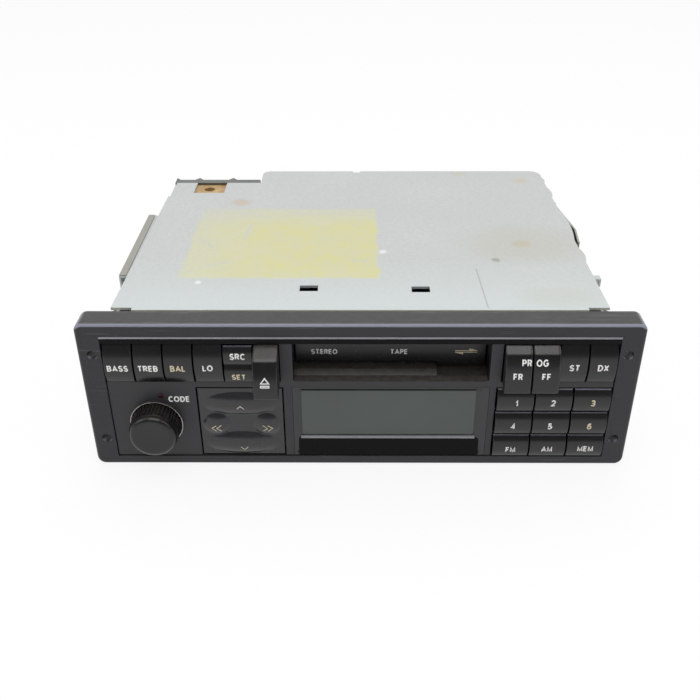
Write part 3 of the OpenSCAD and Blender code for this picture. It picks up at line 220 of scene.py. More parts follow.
def moulded(name, colour, rough, depth, grain=0.5, spec=0.5, coat=0.0, dust=0.0, settled=0.0, scratch=0.0,
            polish=0.0, highlight_from=0.2):
    """Moulded plastic: eroded grain, cloudy gloss, dust specks, settled dust, scratches, a painted highlight
    on rounded top edges.
    """
    material, tree, coords = blank(name)
    eroded = add(tree, NOISE, {"Vector": coords, "Scale": per(grain), "Detail": 2.0})
    cloud = add(tree, NOISE, {"Vector": coords, "Scale": per(CLOUD), "Detail": 5.0})
    normal = add(tree, "ShaderNodeNewGeometry").outputs["Normal"]
    facing = add(tree, "ShaderNodeSeparateXYZ", (normal,)).outputs["Z"]
    layers = [(cloud, shade(colour, 1.2))]
    if dust:
        speck = add(tree, "ShaderNodeTexVoronoi", {"Vector": coords, "Scale": per(SPECK)})
        near = add(tree, RANGE, (speck, 0.08, 0.2, dust, 0.0))
        patch = add(tree, RANGE, (cloud, 0.45, 0.65))
        dusty = add(tree, MATH, (near, patch), operation="MULTIPLY")
        layers.append((dusty, SPECK_COLOUR))
    if settled:
        film = add(tree, NOISE, {"Vector": coords, "Scale": per(DUST_FILM), "Detail": 6.0,
                                                "Roughness": 0.7})
        even = add(tree, RANGE, (film, 0.35, 0.7, 0.3, 1.0))
        upward = add(tree, RANGE, (facing, 0.5, 0.97, 0.0, settled))
        lying = add(tree, MATH, (even, upward), operation="MULTIPLY")
        layers.append((lying, DUST_COLOUR))
    if scratch:
        drawn = add(tree, "ShaderNodeMapping", {"Vector": coords, "Scale": (0.03, 1.0, 1.0)})
        line = add(tree, NOISE, {"Vector": drawn, "Scale": per(SCRATCH), "Detail": 3.0})
        mark = add(tree, RANGE, (line, 0.64, 0.7, 0.0, scratch))
        layers.append((mark, SCRATCH_COLOUR))
    # Painted highlight: faces that turn partly upward, as on rounded top edges, take a paler colour
    if polish:
        start = add(tree, RANGE, (facing, highlight_from, highlight_from + 0.2, 0.0, polish))
        end = add(tree, RANGE, (facing, 0.97, 0.85))
        edge = add(tree, MATH, (start, end), operation="MULTIPLY")
        layers.append((edge, EDGE_HIGHLIGHT_COLOUR))
    gloss = add(tree, RANGE, (cloud, 0.3, 0.7, rough - 0.04, rough + 0.06))
    bump = add(tree, "ShaderNodeBump", {"Height": eroded, "Distance": depth * MM, "Strength": 1.0})
    return surface(material, {
        "Base Color": layered(tree, shade(colour, 0.82), layers), "Roughness": gloss, "Normal": bump,
        "IOR": 1.5, "Specular IOR Level": spec, "Coat Weight": coat, "Coat Roughness": 0.12})


def worked_metal(name, colour, rough, stretch=(1, 1, 1)):
    """Rolled, turned or plated metal: fine lines along the working direction and a cloudy tarnish."""
    material, tree, coords = blank(name)
    along = add(tree, "ShaderNodeMapping", {"Vector": coords, "Scale": stretch})
    lines = add(tree, NOISE, {"Vector": along, "Scale": per(METAL_LINE), "Detail": 3.0})
    cloud = add(tree, NOISE, {"Vector": coords, "Scale": per(TARNISH), "Detail": 6.0})
    gloss = add(tree, RANGE, (lines, 0.25, 0.75, rough - 0.08, rough + 0.1))
    bump = add(tree, "ShaderNodeBump", {"Height": lines, "Distance": 0.004 * MM, "Strength": 1.0})
    tone = layered(tree, shade(colour, 0.78), [(cloud, shade(colour, 1.08))])
    return surface(material, {"Base Color": tone, "Roughness": gloss, "Normal": bump, "Metallic": 1.0})


# Stains on the top cover: place, half width and half depth in mm, strength, colour
STAINS = (
    (64, 68, 24, 17, 0.3, "#b3ac9b"), (63.4, 67.7, 4, 3, 0.4, "#b0a276"),
    (51, 53.6, 1.6, 1.8, 0.6, "#857f70"), (73, 135.5, 4, 3.5, 0.5, "#bcb39c"),
    (46, 143.5, 3, 2.5, 0.45, "#bcb39c"), (-51, 110, 4.4, 3.6, 0.6, "#bca896"),
    (-58.2, 35.4, 1.2, 1.5, 0.6, "#e6e9e9"), (8.8, 61.2, 1.4, 1.8, 0.55, "#e4e7e7"),
    (70, 25, 14, 7, 0.2, "#b5ae9c"),
)
# Both ends of the crease in the cover and of the scratches through the glue, and the glue's corners, in mm
CREASE = (43.1, 46.3, 44.0, 16.7)
GLUE_SCRATCHES = ((-45.6, 72.2, -44.3, 86.8), (-63.8, 72.2, -57.0, 65.7), (-59.7, 47.5, -49.1, 52.5),
                  (-3.5, 53.0, 2.5, 52.4))
GLUE_CORNERS = ((-66, 38.8), (7, 103))
# Softness of the glue's edges, where it thins towards its rear and left edge, where the cover grows lighter
# towards the front, and half the width and strength of the scratches and of the crease's painted shade, in mm
GLUE_EDGE = 0.9
GLUE_REAR = (84, 100)
GLUE_LEFT = (-62, -40)
LIGHTER_FRONT = (55, 20)
SCRATCH_LINE = (0.5, 0.8)
CREASE_SHADE_LINE = (0.22, 0.6)


def galvanised():
    """Galvanised sheet: a fine grey mottle, brown stains, a crease drawn in painted shade and a patch of old
    glue on the top.
    """
    material, tree, coords = blank("Galvanised sheet steel, stained")
    steel = colour_of("steel")
    cloud, fine, torn = (
        add(tree, NOISE, {"Vector": coords, "Scale": per(size), "Detail": detail,
                                         "Roughness": rough})
        for size, detail, rough in ((40, 6.0, 0.6), (1.3, 5.0, 0.65), (9, 7.0, 0.7)))
    shift = add(tree, VECTOR, (torn.outputs["Color"], (0.5, 0.5, 0.5)), operation="SUBTRACT")
    shift = add(tree, VECTOR, (shift, (RAGGED * MM, RAGGED * MM, 0.0)), operation="MULTIPLY")
    ragged = add(tree, VECTOR, (coords, shift), operation="ADD")
    apart = add(tree, "ShaderNodeSeparateXYZ", (ragged,)).outputs
    on_top = add(tree, RANGE, (apart["Z"], COVER_TOP - MM, COVER_TOP - 0.8 * MM))

    def spot(x, y, wide, deep, share):
        """Mask of an oval stain round a place on the top, in mm."""
        away = add(tree, VECTOR, (ragged, tuple(at(x, y, 0))), operation="SUBTRACT")
        away = add(tree, VECTOR, (away, (per(wide), per(deep), 0.0)), operation="MULTIPLY")
        far = add(tree, VECTOR, (away,), operation="LENGTH")
        inside = add(tree, RANGE, (far, 1.25, 0.6, 0.0, share))
        return add(tree, MATH, (inside, on_top), operation="MULTIPLY")

    def line(x0, y0, x1, y1, half, share):
        """Mask of a thin straight mark on the top, in mm."""
        start, end = at(x0, y0, 0), at(x1, y1, 0)
        way = tuple((end - start).normalized())
        reach = (end - start).length
        flat = add(tree, VECTOR, (coords, (1, 1, 0)), operation="MULTIPLY")
        past = add(tree, VECTOR, (flat, tuple(start)), operation="SUBTRACT")
        along = add(tree, VECTOR, (past, way), operation="DOT_PRODUCT")
        along = add(tree, RANGE, (along, 0.0, reach, 0.0, reach))
        foot = add(tree, VECTOR, {0: way, "Scale": along}, operation="SCALE")
        off = add(tree, VECTOR, (past, foot), operation="DISTANCE")
        near = add(tree, RANGE, (off, half * MM * 1.6, half * MM * 0.5, 0.0, share))
        return add(tree, MATH, (near, on_top), operation="MULTIPLY")

    # Glue residue: a rectangle with torn edges, thin along its rear and left edges and scratched through
    low, high = (at(x, y, 0) for x, y in GLUE_CORNERS)
    masks = [add(tree, RANGE, (apart[axis], edge - soft * MM, edge + soft * MM))
             for axis, edge, soft in (("X", low.x, GLUE_EDGE), ("X", high.x, -GLUE_EDGE),
                                      ("Y", low.y, GLUE_EDGE), ("Y", high.y, -GLUE_EDGE))]
    masks += [add(tree, RANGE, ins) for ins in (
        (torn, 0.62, 0.38, 0.66, 0.97), (fine, 0.3, 0.7, 1.0, 0.82),
        (apart["Y"], *(at(0, y, 0).y for y in GLUE_REAR), 1.0, 0.45),
        (apart["X"], *(at(x, 0, 0).x for x in GLUE_LEFT), 0.65, 1.0))]
    masks += [add(tree, MATH, (1.0, line(*ends, *SCRATCH_LINE)), operation="SUBTRACT")
              for ends in GLUE_SCRATCHES]
    glue = on_top
    for mask in masks:
        glue = add(tree, MATH, (glue, mask), operation="MULTIPLY")

    mottle = add(tree, RANGE, (cloud, 0.3, 0.7))
    grit = add(tree, RANGE, (fine, 0.3, 0.7, 0.0, 0.75))
    # The cover grows lighter towards the front
    lighter_front = add(tree, RANGE, (apart["Y"], *(at(0, y, 0).y for y in LIGHTER_FRONT), 0.0, 0.6))
    layers = [(mottle, shade(steel, 1.03)), (grit, shade(steel, 0.84)), (lighter_front, linear("#c4cccb"))]
    layers += [(spot(*place), linear(code)) for *place, code in STAINS]
    # The crease is a line of painted shade
    layers += [(line(*CREASE, *CREASE_SHADE_LINE), linear("#8b8f8e")), (glue, colour_of("residue"))]
    gloss = add(tree, RANGE, (cloud, 0.3, 0.7, 0.46, 0.6))
    return surface(material, {
        "Base Color": layered(tree, shade(steel, 0.95), layers),
        "Roughness": add(tree, MATH, (gloss, glue), operation="MAXIMUM"),
        "Metallic": add(tree, RANGE, (glue, 0.0, 1.0, 0.4, 0.0)),
        "Normal": add(tree, "ShaderNodeBump", {"Height": fine, "Distance": 0.008 * MM, "Strength": 0.6})})


def display_glass():
    """Liquid-crystal cell at rest: grey-green polariser, faintly uneven, behind clear glass."""
    material, tree, coords = blank("Liquid-crystal display, unlit")
    colour = colour_of("display")
    cloud = add(tree, NOISE, {"Vector": coords, "Scale": per(25), "Detail": 3.0})
    film = add(tree, NOISE, {"Vector": coords, "Scale": per(0.6), "Detail": 2.0})
    tone = layered(tree, shade(colour, 0.86), [(cloud, shade(colour, 1.12))])
    tone = add(tree, "ShaderNodeMix", {0: 0.06, 6: tone, 7: film.outputs["Color"]}, data_type="RGBA",
               blend_type="OVERLAY")
    return surface(material, {"Base Color": tone, "Roughness": 0.45, "Coat Weight": 0.35,
                              "Coat Roughness": 0.08})


def printed(name, colour):
    """Pad-printed ink: slightly uneven cover, matt."""
    material, tree, coords = blank(name)
    cover = add(tree, NOISE, {"Vector": coords, "Scale": per(0.5), "Detail": 3.0})
    tone = layered(tree, shade(colour, 0.84), [(cover, shade(colour, 1.06))])
    return surface(material, {"Base Color": tone, "Roughness": 0.6})


def laminate(name, colour, fibre):
    """Circuit-board laminate: pressed fibres under a thin lacquer."""
    material, tree, coords = blank(name)
    weave = add(tree, NOISE, {"Vector": coords, "Scale": per(0.8), "Detail": 5.0})
    cloud = add(tree, NOISE, {"Vector": coords, "Scale": per(7), "Detail": 4.0})
    both = add(tree, MATH, (weave, cloud), operation="MULTIPLY")
    spread = add(tree, RANGE, (both, 0.12, 0.4))
    bump = add(tree, "ShaderNodeBump", {"Height": weave, "Distance": 0.02 * MM})
    tone = layered(tree, shade(colour, 0.78), [(spread, fibre)])
    return surface(material, {"Base Color": tone, "Roughness": 0.5, "Normal": bump})


finishes = {}


def make_finishes():
    """One finish for each material slot of the radio, and the inks."""
    panel, keys = colour_of("panel"), colour_of("keys")
    worn = {"depth": 0.002, "grain": 0.6, "spec": 0.45, "dust": 0.06}
    finishes.update({
        # Grain is drawn at 0.5 mm: the real 0.1 mm erosion grain would not show
        # The trim's rounded rim takes a painted highlight
        "trim_plastic": moulded("Moulded ABS, eroded grain", colour_of("trim"), 0.46, 0.014, spec=0.42,
                                dust=0.15, settled=0.12, scratch=0.25, polish=0.8),
        "panel_plastic": moulded("Moulded ABS, satin", panel, 0.42, 0.008, dust=0.1, settled=0.4),
        "pad_plastic": moulded("Moulded ABS pad, polished", panel, 0.24, 0.002, grain=0.6, coat=0.2,
                               dust=0.08),
        "key_plastic": moulded("Key caps, polished by use", keys, 0.26, coat=0.25, settled=0.2, **worn),
        # The keys' rounded top edges take a painted highlight
        "row_key_plastic": moulded("Key caps with rubbed top edges", keys, 0.26, coat=0.25, polish=0.7,
                                   highlight_from=0.5, **worn),
        "knob_plastic": moulded("Knob, polished by use", keys, 0.3, coat=0.15, settled=0.15, **worn),
        "display_plastic": moulded("Display surround, polished", panel, 0.36, 0.004, spec=0.6, dust=0.08,
                                   settled=0.6),
        # Pale plastic that paints a highlight on the lip over the keys and on the display's ledge; its specks
        # are dust
        "rubbed_plastic": moulded("Rubbed plastic edge", linear("#8a8a90"), 0.35, 0.004, dust=0.2),
        # Smoked acrylic for the display's strip; the same black makes the plate of painted shade under the
        # lip
        "smoked_plastic_and_shade": moulded("Smoked acrylic strip", linear("#040405"), 0.2, 0.0005, spec=0.12,
                                  dust=0.06),
        "display_glass": display_glass(),
        "lamp_red": moulded("Red lamp", linear("#340b0d"), 0.2, 0.002),
        "mat_rubber": moulded("Silicone rubber", linear("#8c8f92"), 0.6, 0.01),
        "board_green": laminate("Glass-fibre board, green lacquer", linear("#2f5f3a"), linear("#4a7d52")),
        "board_brown": laminate("Paper laminate, brown", linear("#a8834f"), linear("#c9ab7c")),
        "carrier_plastic": moulded("Natural nylon", linear("#a4977b"), 0.5, 0.01, grain=0.6, dust=0.3),
        "throat_plastic": moulded("Slot throat, satin", linear("#19191b"), 0.3, 0.004, dust=0.7, settled=0.4),
        "case_steel": galvanised(),
        "spring_steel": worked_metal("Spring steel, dull", linear("#a3a39b"), 0.4, (1, 0.05, 1)),
        "sink_aluminium": worked_metal("Extruded aluminium, dull", linear("#7a7d79"), 0.5, (1, 1, 0.04)),
        "tin_plate": worked_metal("Tin plate", linear("#c6c9c6"), 0.32, (0.06, 1, 1)),
        "socket_plastic": moulded("Glass-filled nylon, black", linear("#1c1c1e"), 0.5, 0.01, dust=0.1),
        "plated_metal": worked_metal("Zinc-plated steel", linear("#bdbdb7"), 0.3),
        "deck_steel": worked_metal("Plated deck steel", linear("#b2b5b0"), 0.35, (0.06, 1, 1)),
        "white_plastic": moulded("Acetal, natural", linear("#d9d6cd"), 0.4, 0.006),
        "turned_brass": worked_metal("Turned brass", linear("#b8954f"), 0.28, (1, 1, 0.1)),
        "black_rubber": moulded("Nitrile rubber", linear("#1c1b1a"), 0.62, 0.01, grain=0.4),
        "head_metal": worked_metal("Polished head metal", linear("#c7c9c6"), 0.18),
        "ink": printed("White pad-printed ink", colour_of("ink")),
        "aged_ink": printed("Yellowed pad-printed ink", linear("#dccfb2")),
    })


# Meshes

# Corners closer than this are one
MERGE = 0.002 * MM
# Edges sharper than this are rounded, and faces that differ by less are shaded as one, in degrees
EDGE_ANGLE = 32.0
SMOOTH_ANGLE = 35.0
# The same for drawn fronts and for turned pieces, and the angle under which faces count as one flat face
GRID_ANGLE = 40.0
TURNED_ANGLE = 50.0
FLAT_ANGLE = 0.4
# Faces of at least this share of the largest one at a corner set its normal
LARGE_SHARE = 0.3
# Grid lines over a rounded edge, and sides of a turned piece
EDGE_STEPS = 6
TURNED_SIDES = 96
# Where rays start in front of the radio, in mm
OUTSIDE = -30.0
# Depth where proud keys and the pad are cut for their drawn fronts, and how far a front laps past it, in mm
CUT = 1.0
LAP = 0.2


def put(name, mesh, material):
    """A new object at the origin with one material."""
    piece = bpy.data.objects.new(name, mesh)
    bpy.context.scene.collection.objects.link(piece)
    mesh.materials.clear()
    mesh.materials.append(material)
    return piece


def attach(piece, node):
    """Lets a piece move with a node's body."""
    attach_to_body(piece, body_of[node])
    return piece


dressed = {}


def stand_for(node, piece):
    """Puts a piece in a node's place."""
    dressed[node] = attach(piece, node)
    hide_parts(node)


def flatten(piece):
    """Turns a piece with modifiers into its plain mesh."""
    graph = bpy.context.evaluated_depsgraph_get()
    mesh = bpy.data.meshes.new_from_object(piece.evaluated_get(graph))
    piece.modifiers.clear()
    old = piece.data
    piece.data = mesh
    bpy.data.meshes.remove(old)
    return piece


def smooth(mesh, angle=SMOOTH_ANGLE):
    mesh.shade_smooth()
    mesh.set_sharp_from_angle(angle=math.radians(angle))


def level(mesh):
    """Corner normals from the large faces alone, so that flat faces stay flat beside their rounded edges."""
    around = [[] for _ in mesh.vertices]
    for face in mesh.polygons:
        for v in face.vertices:
            around[v].append(face.index)
    normals = [face.normal.copy() for face in mesh.polygons]
    areas = [face.area for face in mesh.polygons]
    limit = math.cos(math.radians(SMOOTH_ANGLE))
    corners = [None] * len(mesh.loops)
    for face in mesh.polygons:
        for loop, v in zip(face.loop_indices, face.vertices):
            near = [i for i in around[v] if normals[i].dot(normals[face.index]) > limit]
            large = LARGE_SHARE * max(areas[i] for i in near)
            corners[loop] = sum((normals[i] for i in near if areas[i] >= large), Vector()).normalized()
    mesh.shade_smooth()
    mesh.normals_split_custom_set(corners)


def bow(x, y, wide, tall, start, end, steps=9):
    """Points on part of an ellipse, from one angle to the other in degrees."""
    turns = [math.radians(start + (end - start) * i / steps) for i in range(steps + 1)]
    return [(x + wide * math.cos(t), y + tall * math.sin(t)) for t in turns]


def loft(shape, rings, endless=False):
    """Joins rings of corners with faces; the ends are closed, or joined to each other."""
    for a, b in zip(rings, rings[1:] + rings[:1] if endless else rings[1:]):
        for i in range(len(a)):
            j = (i + 1) % len(a)
            shape.faces.new((a[i], a[j], b[j], b[i]))
    if not endless:
        shape.faces.new(rings[0])
        shape.faces.new(rings[-1])


def keep(shape, name, outward=True):
    """Ends a bmesh and gives its mesh; outward has Blender work out afresh which way its faces point."""
    if outward:
        bmesh.ops.recalc_face_normals(shape, faces=shape.faces)
    mesh = bpy.data.meshes.new(name)
    shape.to_mesh(mesh)
    shape.free()
    return mesh


def joined_mesh(node):
    """A copy of a node's mesh with its corners merged and its flat faces made whole."""
    shape = bmesh.new()
    shape.from_mesh(nodes[node].data)
    bmesh.ops.remove_doubles(shape, verts=shape.verts, dist=MERGE)
    bmesh.ops.dissolve_limit(shape, angle_limit=math.radians(FLAT_ANGLE), verts=shape.verts,
                              edges=shape.edges)
    mesh = keep(shape, node, outward=False)
    if "custom_normal" in mesh.attributes:
        mesh.attributes.remove(mesh.attributes["custom_normal"])
    return mesh


def round_front(piece, node, radius, corner):
    """Cuts a piece to a block with a rounded front rim; radius and the block's corner radius are in mm."""
    low, high = box_mm(node)
    # The block stands a little outside the piece, so that none of their faces lie in one plane
    spare = 0.03
    turns = [math.radians(90 * i / 8) for i in range(9)]
    sections = [(radius * (1 - math.sin(t)) - spare, low.y + radius * (1 - math.cos(t)) - spare)
                for t in turns]
    sections.append((-spare, high.y + 1))
    left, right = low.x + corner, high.x - corner
    bottom, top = low.z + corner, high.z - corner
    corners = ((right, top, 0), (left, top, 90), (left, bottom, 180), (right, bottom, 270))
    shape = bmesh.new()
    rings = []
    for inset, depth in sections:
        reach = corner - inset
        points = [point for x, z, first in corners
                  for point in bow(x, z, reach, reach, first, first + 90, 12)]
        rings.append([shape.verts.new(at(x, depth, z)) for x, z in points])
    loft(shape, rings)
    mesh = keep(shape, "rounded_block")
    block = put("rounded_block", mesh, piece.data.materials[0])
    cut = piece.modifiers.new("Rounded rim", "BOOLEAN")
    cut.operation = "INTERSECT"
    cut.solver = "EXACT"
    cut.object = block
    flatten(piece)
    bpy.data.objects.remove(block)
    bpy.data.meshes.remove(mesh)
    shape = bmesh.new()
    shape.from_mesh(piece.data)
    bmesh.ops.remove_doubles(shape, verts=shape.verts, dist=MERGE)
    shape.to_mesh(piece.data)
    shape.free()


def soften(node, width, segments=2, material=None, rim=0.0, corner=0.0):
    """A piece with moulded edges that stands for a node; rim rounds its front outer edge first, in mm."""
    piece = put(node + "_dressed", joined_mesh(node), material or finishes[slot_of[node]])
    if rim:
        round_front(piece, node, rim, corner)
    rounding = piece.modifiers.new("Edges", "BEVEL")
    rounding.width = width
    rounding.segments = segments
    rounding.limit_method = "ANGLE"
    rounding.angle_limit = math.radians(EDGE_ANGLE)
    flatten(piece)
    level(piece.data)
    stand_for(node, piece)


def edge_lines(start, end, radius, step):
    """Places of grid lines from start to end, closer together over the rounding at both ends, in mm."""
    turns = [math.radians(90 - 90 * i / EDGE_STEPS) for i in range(EDGE_STEPS + 1)]
    rise = [radius * (1 - math.sin(t)) for t in turns]
    count = max(2, round((end - start - 2 * radius) / step))
    inner = [start + radius + (end - start - 2 * radius) * i / count for i in range(1, count)]
    return [start + d for d in rise] + inner + [end - d for d in reversed(rise)]


def rounded(place, start, end, radius):
    """How far a rounded edge falls back at a place between two ends, in mm."""
    short = max(0.0, radius - min(place - start, end - place))
    return radius - math.sqrt(max(0.0, radius * radius - short * short))


def regrid(node, front_of, radius, step):
    """A piece for a node whose front is drawn as a fine grid; behind the cut the node's own shape stays."""
    shape = bmesh.new()
    shape.from_mesh(joined_mesh(node))
    whole = shape.verts[:] + shape.edges[:] + shape.faces[:]
    bmesh.ops.bisect_plane(shape, geom=whole, plane_co=at(0, CUT, 0), plane_no=(0, 1, 0), clear_inner=True)
    open_edges = [e for e in shape.edges if e.is_boundary]
    corners = [(v.co - at(0, 0, 0)) / MM for e in open_edges for v in e.verts]
    x0, x1 = min(c.x for c in corners), max(c.x for c in corners)
    z0, z1 = min(c.z for c in corners), max(c.z for c in corners)
    bmesh.ops.holes_fill(shape, edges=open_edges, sides=0)
    xs = edge_lines(x0, x1, radius, step)
    # A nose below the cut's edge ends in front of the panel
    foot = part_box(node)[0].z / MM
    nose = z0 - foot > 0.1
    zs = edge_lines(foot if nose else z0, z1, radius, step)
    back_of = [CUT + LAP] * len(zs)
    if nose:
        hit = skin_of(node).ray_cast(at((x0 + x1) / 2, CUT, (foot + z0) / 2), Vector((0, -1, 0)))[0]
        zs = sorted(zs + [z0 - 0.01, z0 + 0.01])
        back_of = [(hit.y - FRONT) / MM if z < z0 else CUT + LAP for z in zs]
    rows = []
    for z in zs:
        fall = rounded(z, zs[0], z1, radius)
        depths = [front_of(x, z) + rounded(x, x0, x1, radius) + fall for x in xs]
        rows.append([shape.verts.new(at(x, y, z)) for x, y in zip(xs, depths)])
    backs = [[shape.verts.new(at(x, y, z)) for x in (x0, x1)] for y, z in zip(back_of, zs)]
    for below, above, behind, over in zip(rows, rows[1:], backs, backs[1:]):
        for i in range(len(xs) - 1):
            shape.faces.new((below[i], below[i + 1], above[i + 1], above[i]))
        shape.faces.new((behind[0], behind[1], over[1], over[0]))
        for end in (0, -1):
            shape.faces.new((below[end], above[end], over[end], behind[end]))
    for end in (0, -1):
        shape.faces.new(rows[end] + backs[end][::-1])
    piece = put(node + "_dressed", keep(shape, node + "_dressed"), finishes[slot_of[node]])
    smooth(piece.data, GRID_ANGLE)
    stand_for(node, piece)


# Proud keys, in mm: heights above the foot and steps below the top where the front's curve and slope are
# measured, and how softly the two meet
CURVE_MARKS = (1.0, 6.0, 11.0)
SLOPE_DROP = 1.0
SLOPE_BLEND = 0.4


def proud_front(node):
    """The curved front and the sloping top of a proud key, measured on the node's own surface."""
    low, high = box_mm(node)
    tree = skin_of(node)

    def depth(z):
        hit = tree.ray_cast(at((low.x + high.x) / 2, OUTSIDE, z), Vector((0, 1, 0)))[0]
        return (hit.y - FRONT) / MM

    # The circle through three points of the front
    marks = [(depth(low.z + up), low.z + up) for up in CURVE_MARKS]
    (ay, az), (by, bz), (cy, cz) = marks
    twice = 2 * (ay * (bz - cz) + by * (cz - az) + cy * (az - bz))
    first, second, third = (y * y + z * z for y, z in marks)
    mid_y = (first * (bz - cz) + second * (cz - az) + third * (az - bz)) / twice
    mid_z = (first * (cy - by) + second * (ay - cy) + third * (by - ay)) / twice
    radius = math.hypot(ay - mid_y, az - mid_z)
    top = high.z - SLOPE_DROP
    edge = depth(top)
    lean = (edge - depth(top - SLOPE_DROP)) / SLOPE_DROP

    def front_of(x, z):
        arc = mid_y - math.sqrt(radius * radius - (z - mid_z) ** 2)
        return blended(arc, edge + lean * (z - top), SLOPE_BLEND)

    return front_of


def blended(first, second, reach):
    """The higher of two values, with a soft bend where they come within reach of each other."""
    near = max(0.0, reach - abs(first - second))
    return max(first, second) + near * near / (4 * reach)


# Thin plates: lower and upper corner in mm, finish, carrying node, how far the lower front edge leans forward
PLATES = {
    # The lip is a pale plate: a painted highlight along the top edge of the trim's opening
    "panel_lip": ((-86.4, 0.0, 52.5), (86.4, 0.6, 53.35), "rubbed_plastic", "front_panel", 0.0),
    # A black plate of painted shade between the lip and the keys' tops
    "panel_gap": ((-86.4, 0.05, 50.55), (86.4, 0.6, 52.45), "smoked_plastic_and_shade", "front_panel", 0.0),
    "display_window": ((-20.05, 1.3, 12.6), (39.9, 1.75, 31.2), "display_glass", "lcd_module", 0.0),
    # The ledge's pale plate is a painted highlight on its top face, partly dust
    "display_ledge": ((-20.6, 0.8, 11.15), (40.5, 1.75, 11.95), "rubbed_plastic", "display_bezel", 0.0),
    "display_strip": ((-21.4, 1.0, 4.3), (42.0, 1.75, 11.1), "smoked_plastic_and_shade", "display_bezel", 0.75),
    "rail_strip": ((-88.9, 43.6, 53.3), (-86.3, 99.5, 53.8), "spring_steel", "chassis_shell", 0.0),
}


def plate(name):
    """One of the thin plates."""
    low, high, finish, node, lean = PLATES[name]
    shape = bmesh.new()
    bmesh.ops.create_cube(shape, size=1.0)
    for v in shape.verts:
        x, y, z = (a + (b - a) * (c + 0.5) for a, b, c in zip(low, high, v.co))
        v.co = at(x, y - (lean if v.co.y < 0 and v.co.z < 0 else 0.0), z)
    attach(put(name, keep(shape, name, outward=False), finishes[finish]), node)


def lathe(name, profile, x, z, material):
    """A piece turned about a line along Y through x and z; the profile is (radius, depth) points in mm."""
    shape = bmesh.new()
    rings = []
    for radius, depth in profile:
        around = bow(x, z, radius, radius, 0, 360, TURNED_SIDES)[:-1] if radius else [(x, z)]
        rings.append([shape.verts.new(at(px, depth, pz)) for px, pz in around])
    for first, second in zip(rings, rings[1:]):
        for i in range(TURNED_SIDES):
            corners = [first[i % len(first)], first[(i + 1) % len(first)],
                       second[(i + 1) % len(second)], second[i % len(second)]]
            shape.faces.new(list(dict.fromkeys(corners)))
    bmesh.ops.remove_doubles(shape, verts=shape.verts, dist=0.1 * MERGE)
    piece = put(name, keep(shape, name), material)
    smooth(piece.data, TURNED_ANGLE)
    return piece


# Printed labels

# Half the thickness that print is drawn with before it is laid, and what each further stroke adds, so that
# none share a face where they cross
PRINT = 0.1 * MM
STROKE_RISE = 0.12
# Print is cut across in steps of this height, so that it bends with the key under it
PRINT_STEP = 0.3 * MM
# Width of a letter's strokes and room between letters, for letters one unit tall; how narrow they are set
WEIGHT = 0.24
LETTER_GAP = 0.13
NARROW = 0.86
# Print spreads this much past the height that it is given
SPREAD = 1.17


def skin_of(node):
    """A search tree of a node's surface, for laying print on it."""
    mesh = dressed.get(node, nodes[node]).data
    points = [v.co for v in mesh.vertices]
    return BVHTree.FromPolygons(points, [tuple(p.vertices) for p in mesh.polygons])


def lay_print(name, shape, node, x, z, ink):
    """Lays a flat sign, drawn round its own middle, onto the front of a node."""
    heights = [v.co.y for v in shape.verts]
    height = min(heights)
    while height < max(heights):
        height += PRINT_STEP
        whole = shape.verts[:] + shape.edges[:] + shape.faces[:]
        bmesh.ops.bisect_plane(shape, geom=whole, plane_co=(0, height, 0), plane_no=(0, 1, 0))
    tree = skin_of(node)
    thickness = sizes().print_depth
    for v in shape.verts:
        start = at(x, OUTSIDE, z) + Vector((v.co.x, 0, v.co.y))
        hit = tree.ray_cast(start, Vector((0, 1, 0)))[0]
        if hit is None:
            raise RuntimeError("no surface under " + name)
        v.co = Vector((start.x, hit.y - thickness * v.co.z / PRINT, start.z))
    attach(put(name, keep(shape, name), ink), node)


